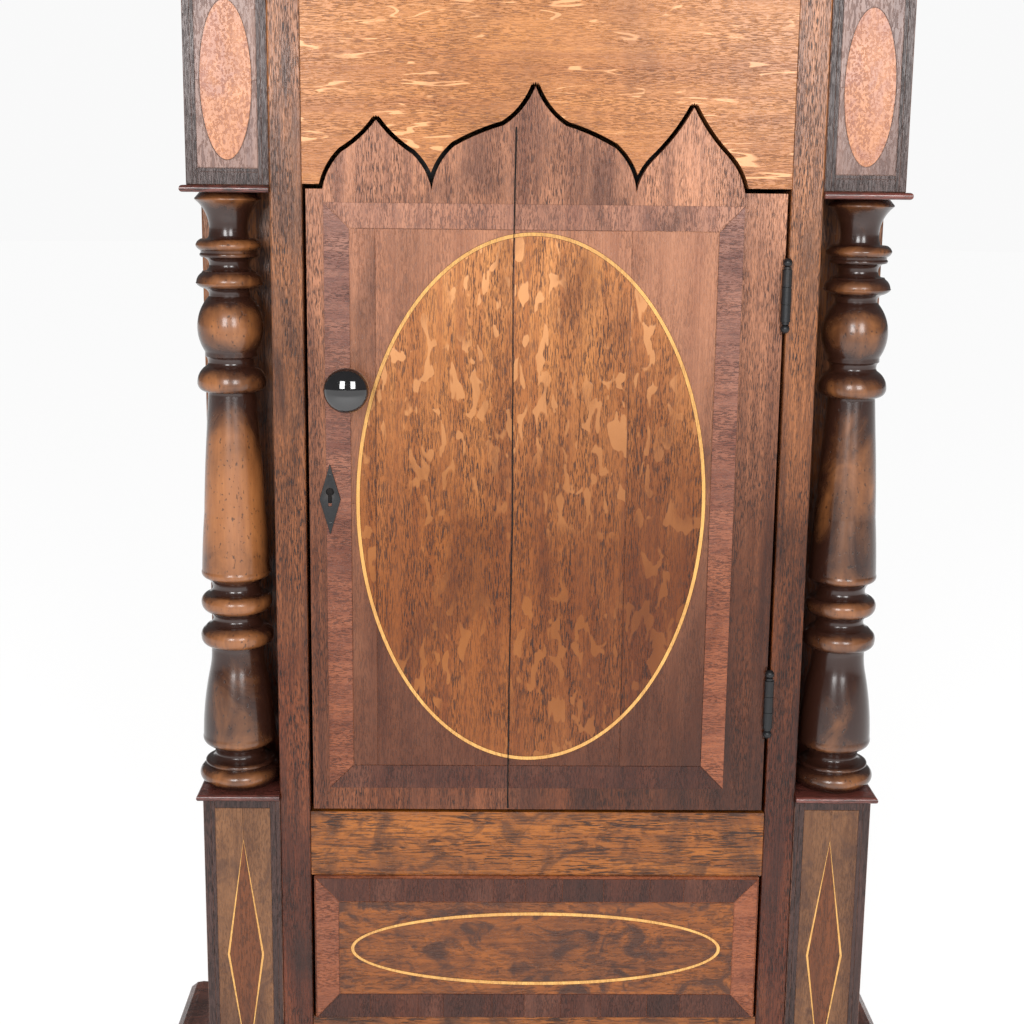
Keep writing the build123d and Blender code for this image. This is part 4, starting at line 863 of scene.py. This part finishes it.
def spray(sheets, x, z, size, turn, front):
    """A painted rose with its leaves and a gilt centre."""
    for index in range(6):
        leaf = moved(petal(5.5, 17), 0, 0, turn + 60 * index + 30)
        sheets["leaf"].add(moved(leaf, x, z, 0, size), front + 0.02, 0.10)
    for index in range(7):
        outer = moved(petal(8, 11.5), 0, 0, turn + 360 / 7 * index)
        sheets["rose"].add(moved(outer, x, z, 0, size), front - 0.02, 0.10, board=0.3 * index)
    for index in range(5):
        inner = moved(petal(5, 6.5), 0, 0, turn + 72 * index + 20)
        sheets["rose"].add(moved(inner, x, z, 0, size), front - 0.06, 0.10, board=1.7 + 0.4 * index)
    sheets["gilt"].add(moved(oval((0, 0), 2.0, 2.0, 16), x, z, 0, size), front - 0.09, 0.10)


def curl(sheet, x, z, size, turn, front, flip=1):
    """A tapering gilt scroll drawn as a spiral ribbon."""
    outer, inner = [], []
    steps = 26
    for index in range(steps + 1):
        t = index / steps
        angle = t * 1.5 * math.pi
        radius = 12 * (1 - 0.75 * t)
        wide = 0.25 + 1.1 * math.sin(math.pi * t) ** 0.7
        for edge, way in ((outer, 1), (inner, -1)):
            r = radius + way * wide / 2
            edge.append((flip * (r * math.cos(angle) - 12), r * math.sin(angle)))
    ribbon = outer + inner[::-1]
    if flip < 0:
        ribbon = ribbon[::-1]
    sheet.add(moved(ribbon, x, z, turn, size), front, 0.10)


def circle(sheet, centre, radius, wide, front, count):
    """A painted ring of the given outer radius and width."""
    sheet.ring(oval(centre, radius, radius, count), oval(centre, radius - wide, radius - wide, count), front,
               PAINT)


def dial_painting():
    front = DIAL_FRONT - PAINT
    sheets = {key: Sheet() for key in ("black", "gilt", "rose", "leaf", "sky")}
    centre = (0.0, DIAL_Z)
    for radius, wide in ((151.5, 0.7), (146.0, 0.7), (101.0, 0.5), (44.5, 0.5)):
        circle(sheets["black"], centre, radius, wide, front, 160)
    for minute in range(60):
        turn = -6.0 * minute
        if minute % 5:
            mark = moved(oval((0, 148.4), 0.95, 0.95, 12), *centre, turn)
        else:
            mark = moved([(-1.9, 148.4), (0, 145.9), (1.9, 148.4), (0, 150.9)], *centre, turn)
        sheets["black"].add(mark, front, PAINT)
    for hour, text in enumerate(NUMERALS):
        span = sum(LETTER_WIDE[letter] for letter in text)
        x = -span / 2
        for letter in text:
            x += LETTER_WIDE[letter] / 2
            for stroke in strokes(letter):
                placed = moved(stroke, x, 123.0)
                sheets["black"].add(moved(placed, *centre, -30.0 * hour), front, PAINT)
            x += LETTER_WIDE[letter] / 2
    seconds = (0.0, DIAL_Z + SECONDS_RISE)
    for radius in (23.0, 19.5):
        circle(sheets["black"], seconds, radius, 0.4, front, 72)
    for second in range(60):
        tall = 22.6 if second % 5 else 24.6
        sheets["black"].add(moved(bar(0, 19.6, 0, tall, 0.45), *seconds, -6.0 * second), front, PAINT)
    for side in (-1, 1):
        for way in (-1, 1):
            x, z = side * 137.0, DIAL_Z + way * 137.0
            spray(sheets, x, z, 0.86, 90 * side, front)
            for turn, flip in ((45, 1), (45, -1)):
                curl(sheets["gilt"], x - side * 2, z + way * 2, 0.9,
                     turn if side * way > 0 else turn + 90, front + 0.03, flip)
        circle(sheets["gilt"], (side * WINDING_X, DIAL_Z - WINDING_DROP), 6.6, 1.6, front, 40)
    arch = DIAL_Z + DIAL_HALF + 2.0
    picture = (0, arch + 44)
    sheets["gilt"].ring(oval(picture, 70, 37, 120), oval(picture, 68.4, 35.6, 120), front, PAINT)
    sheets["sky"].add(oval(picture, 68.0, 35.2, 96), front + 0.05, PAINT / 2)
    flowers = [(0, 42, 1.15), (-30, 38, 0.85), (30, 38, 0.85), (-50, 46, 0.5), (50, 46, 0.5), (0, 64, 0.5)]
    for x, z, size in flowers:
        spray(sheets, x, arch + z, size, 17 * x, front - 0.03)
    for side in (-1, 1):
        curl(sheets["gilt"], side * 74, arch + 16, 1.0, 20 * side, front, side)
    for key, sheet in sheets.items():
        sheet.make("dial_" + key, key, "case", "brass" if key == "gilt" else "painted_dial")


# ---------------------------------------------------------------- gut lines
def tube(path, radius, sides=10):
    """Points and faces of a round tube along a path of points in millimetres."""
    points, faces = [], []
    count = len(path)
    for index, here in enumerate(path):
        after = Vector(path[min(index + 1, count - 1)])
        before = Vector(path[max(index - 1, 0)])
        along = (after - before).normalized()
        aside = along.cross(Vector((0, 1, 0)))
        if aside.length < 0.1:
            aside = along.cross(Vector((1, 0, 0)))
        aside.normalize()
        other = along.cross(aside)
        for corner in range(sides):
            angle = 2 * math.pi * corner / sides
            points.append(tuple(Vector(here) + radius * (aside * math.cos(angle) + other * math.sin(angle))))
    for ring in range(count - 1):
        for corner in range(sides):
            after = (corner + 1) % sides
            a, b = ring * sides, (ring + 1) * sides
            faces.append((a + corner, a + after, b + after, b + corner))
    faces.append([corner for corner in reversed(range(sides))])
    faces.append([(count - 1) * sides + corner for corner in range(sides)])
    return points, faces


def gut_lines():
    """Each line: turns on its barrel, down to the pulley, round it and up to the seatboard."""
    radius, turn_r = 0.8, 19.5
    wraps, pitch, coil_r, coil_start = 9, 1.75, 20.8, -16.0
    for train, side in (("going", 1), ("strike", -1)):
        low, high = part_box(f"{train}_pulley")
        pulley = Vector(((low.x + high.x) / 2, (low.y + high.y) / 2, (low.z + high.z) / 2)) / MM
        near_x = pulley.x - side * turn_r
        far_x = pulley.x + side * turn_r
        top = DIAL_Z - WINDING_DROP
        for name, x, end in (("fall", near_x, top), ("tail", far_x, SEAT_TOP + 4)):
            steps = 40
            path = [(x, pulley.y, pulley.z + (end - pulley.z) * i / steps) for i in range(steps + 1)]
            made = piece(f"{train}_line_{name}", *tube(path, radius), "gut", "case", "gut", smooth=True)
            made.parent = None
            del made["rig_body"]
            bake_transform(made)
            if name == "fall":
                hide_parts(f"{train}_line")
        loop = [(pulley.x + turn_r * math.cos(angle), pulley.y, pulley.z + turn_r * math.sin(angle))
                for angle in (math.pi + math.pi * i / 36 for i in range(37))]
        piece(f"{train}_line_loop", *tube(loop, radius), "gut", f"{train}_weight", "gut", smooth=True)
        coil = []
        for index in range(wraps * 36 + 1):
            angle = 2 * math.pi * index / 36
            coil.append((side * (WINDING_X + coil_r * math.cos(angle)),
                         pulley.y + pitch * index / 36 + coil_start, top + coil_r * math.sin(angle)))
        piece(f"{train}_line_windings", *tube(coil, radius), "gut", f"{train}_barrel", "gut", smooth=True)
        angles = [2 * math.pi * index / 40 for index in range(41)]
        knot = [(4.2 * math.cos(a) * (1 + 0.25 * math.sin(3 * a)) + far_x, pulley.y + 3.6 * math.sin(a),
                 SEAT_TOP + 2.4 + 1.1 * math.sin(2 * a + 1)) for a in angles]
        piece(f"{train}_line_knot", *tube(knot, 1.1), "gut", "case", "gut", smooth=True)


# ---------------------------------------------------------------- small fittings
def screw(name, x, y, z, finish, body, slot, radius=2.6):
    """A slotted countersunk screw head facing the front."""
    points, faces = [], []
    rings = [(radius, 0.25), (radius * 0.96, -0.12), (radius * 0.6, -0.32)]
    sides = 24
    for ring_r, out in rings:
        for index in range(sides):
            angle = 2 * math.pi * index / sides
            px, pz = ring_r * math.cos(angle), ring_r * math.sin(angle)
            deep = 0.35 if abs(pz) < 0.35 and out < 0 else 0.0
            points.append((x + px, y + out + deep, z + pz))
    for ring in range(len(rings) - 1):
        for index in range(sides):
            after = (index + 1) % sides
            a, b = ring * sides, (ring + 1) * sides
            faces.append((a + index, a + after, b + after, b + index))
    faces.append([(len(rings) - 1) * sides + i for i in range(sides)])
    faces.append([i for i in reversed(range(sides))])
    return piece(name, points, faces, finish, body, slot, smooth=True)


def escutcheon_pins():
    """The two round-headed pins that hold the lozenge escutcheon."""
    low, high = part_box("escutcheon")
    x = (low.x + high.x) / 2 / MM
    for name, z in (("upper", high.z / MM - 7.5), ("lower", low.z / MM + 7.5)):
        screw(f"escutcheon_pin_{name}", x, low.y / MM, z, "japanned", "trunk_door", "black_iron", 1.3)


# ---------------------------------------------------------------- CAD nodes
# Which nodes of the model wear which finish.
CAD_FINISH = {
    "moulding": "bracket_feet base_moulding throat_moulding hood_base_frame cornice",
    "base": "base_front",
    "case": "base_sides trunk_sides",
    "pine": "base_boards trunk_back seatboard",
    "stile": "trunk_stiles",
    "frieze": "door_head_board",
    "rail": "trunk_rails",
    "band_side": "lower_panel",
    "block": "corner_blocks",
    "ledge": "column_ledges",
    "door": "trunk_door_board",
    "japanned": "trunk_hinge_case_leaves trunk_hinge_door_leaves escutcheon lock_case",
    "horn": "door_knob",
    "steel": "lock_bolt anchor pendulum_rod hammer",
    "hood": "hood_carcase hood_mask pediment hood_door_frame",
    "brass": "pediment_brasses movement_plates movement_pillars movement_brackets centre_wheel "
             "going_great_wheel strike_great_wheel going_barrel strike_barrel third_wheel "
             "escape_wheel minute_wheel hour_wheel pendulum_bob pin_wheel going_pulley "
             "strike_pulley",
    "glass": "hood_door_glass",
    "dial": "dial",
    "bell": "bell",
    "blued": "minute_hand hour_hand seconds_hand",
    "cast": "going_weight strike_weight",
}
EASED = {
    "bracket_feet": 1.2, "base_front": 1.2, "base_sides": 1.0, "trunk_sides": 0.8, "trunk_stiles": 1.2,
    "door_head_board": 0.6, "trunk_rails": 0.6, "lower_panel": 0.5, "corner_blocks": 0.5,
    "trunk_door_board": 0.9, "seatboard": 1.0, "hood_carcase": 0.8, "hood_door_frame": 1.0,
    "hood_mask": 0.6, "pediment": 1.2, "escutcheon": 0.35, "lock_case": 0.6, "movement_plates": 0.3,
    "minute_hand": 0.25, "hour_hand": 0.25, "seconds_hand": 0.15,
}


FLAT_BOARDS = ("bracket_feet", "base_front", "base_sides", "trunk_sides", "trunk_stiles",
               "door_head_board", "trunk_rails", "lower_panel", "corner_blocks", "trunk_door_board",
               "seatboard", "hood_carcase", "hood_door_frame", "hood_mask", "pediment")


SIDE_LIGHT = ((0.2475, 0.2525), (-0.021, 0.081), (1.559, 1.801))     # box of the panes: |x|, y, z


def in_range(value, limits):
    return limits[0] < value < limits[1]


def dress_cad_nodes():
    for name, finish in ((name, finish) for finish, names in CAD_FINISH.items() for name in names.split()):
        node = NODES[name]
        node.data.materials.clear()
        node.data.materials.append(M[finish])
        if name in FLAT_BOARDS:
            node.data.shade_flat()
        else:
            node.data.shade_smooth()
            node.data.set_sharp_from_angle(angle=math.radians(30))
        if name in EASED:
            weld = node.modifiers.new("weld", "WELD")
            weld.merge_threshold = 0.00002
            bevel = node.modifiers.new("ease", "BEVEL")
            bevel.width = EASED[name] * MM
            bevel.segments = 3
            bevel.limit_method = "ANGLE"
            bevel.angle_limit = math.radians(50)
            bevel.use_clamp_overlap = True
    carcase = NODES["hood_carcase"].data
    carcase.materials.append(M["glass"])
    for face in carcase.polygons:
        middle = (abs(face.center.x), face.center.y, face.center.z)
        corners = [abs(carcase.vertices[index].co.x) for index in face.vertices]
        if all(map(in_range, middle, SIDE_LIGHT)) and all(in_range(x, SIDE_LIGHT[0]) for x in corners):
            face.material_index = 1


# ---------------------------------------------------------------- studio
ROOM_LIGHT = 0.95
FLOOR_GLOW = 0.077        # brings the far floor up to the room, so that no horizon shows
ROOM_REFLECTED = 0.16


CAMERA_AT = (-0.0422, -1.1635, 1.2485)
CAMERA_TURN = (1.13, 11.54, 0.65)       # degrees to the right, down, and of roll
CAMERA_LENS = 58.008


def camera():
    yaw, pitch, roll = (math.radians(turn) for turn in CAMERA_TURN)
    ahead = Vector((math.sin(yaw) * math.cos(pitch), math.cos(yaw) * math.cos(pitch), -math.sin(pitch)))
    level = Vector((math.cos(yaw), -math.sin(yaw), 0))
    up = level.cross(ahead)
    right = math.cos(roll) * level + math.sin(roll) * up
    top = -math.sin(roll) * level + math.cos(roll) * up
    made = bpy.data.objects.new("camera", bpy.data.cameras.new("camera"))
    bpy.context.scene.collection.objects.link(made)
    made.data.lens = CAMERA_LENS
    made.data.sensor_width = 36.0
    made.data.clip_start = 0.05
    axes = Matrix((right, top, -ahead)).transposed().to_4x4()
    axes.translation = Vector(CAMERA_AT)
    made.matrix_world = axes
    bpy.context.scene.camera = made


def softbox(name, at, target, wide, tall, power):
    light = bpy.data.lights.new(name, "AREA")
    light.shape = "RECTANGLE"
    light.size = wide
    light.size_y = tall
    light.energy = power
    made = bpy.data.objects.new(name, light)
    bpy.context.scene.collection.objects.link(made)
    made.location = at
    made.rotation_mode = "QUATERNION"
    made.rotation_quaternion = (Vector(target) - Vector(at)).to_track_quat("-Z", "Y")


def studio():
    scene = bpy.context.scene
    scene.view_settings.view_transform = "Standard"
    world = bpy.data.worlds.new("studio")
    world.use_nodes = True
    sky = world.node_tree.nodes["Background"]
    sky.inputs["Color"].default_value = (1.0, 1.0, 1.0, 1.0)
    rays = world.node_tree.nodes.new("ShaderNodeLightPath")
    dim = world.node_tree.nodes.new("ShaderNodeMapRange")        # the room in front is darker
    dim.inputs["To Min"].default_value = ROOM_LIGHT
    dim.inputs["To Max"].default_value = ROOM_REFLECTED
    world.node_tree.links.new(rays.outputs["Is Glossy Ray"], dim.inputs["Value"])
    world.node_tree.links.new(dim.outputs[0], sky.inputs["Strength"])
    scene.world = world
    softbox("key_left", (-0.86, -3.0, 1.90), (-0.5, 0, 1.6), 0.78, 1.2, 50)
    softbox("key_right", (0.88, -3.0, 1.90), (0.5, 0, 1.6), 0.78, 1.2, 44)
    mesh = bpy.data.meshes.new("floor")
    reach, sides, drop = 30.0, 96, 0.001
    angles = [2 * math.pi * index / sides for index in range(sides)]
    rim = [(reach * math.cos(angle), reach * math.sin(angle), -drop) for angle in angles]
    mesh.from_pydata(rim, [], [list(range(sides))])
    floor = bpy.data.objects.new("floor", mesh)
    scene.collection.objects.link(floor)
    pale = bpy.data.materials.new("pale_floor")
    pale.use_nodes = True
    floor_shader = pale.node_tree.nodes["Principled BSDF"]
    floor_shader.inputs["Base Color"].default_value = (0.93, 0.93, 0.93, 1)
    floor_shader.inputs["Roughness"].default_value = 0.9
    floor_shader.inputs["Specular IOR Level"].default_value = 0.0
    floor_shader.inputs["Emission Color"].default_value = (1.0, 1.0, 1.0, 1)
    floor_shader.inputs["Emission Strength"].default_value = FLOOR_GLOW
    mesh.materials.append(pale)


camera()
dress_cad_nodes()
door_inlay()
door_split()
keyhole()
panel_inlay()
block_inlay()
base_inlay()
columns()
dial_painting()
gut_lines()
escutcheon_pins()
studio()
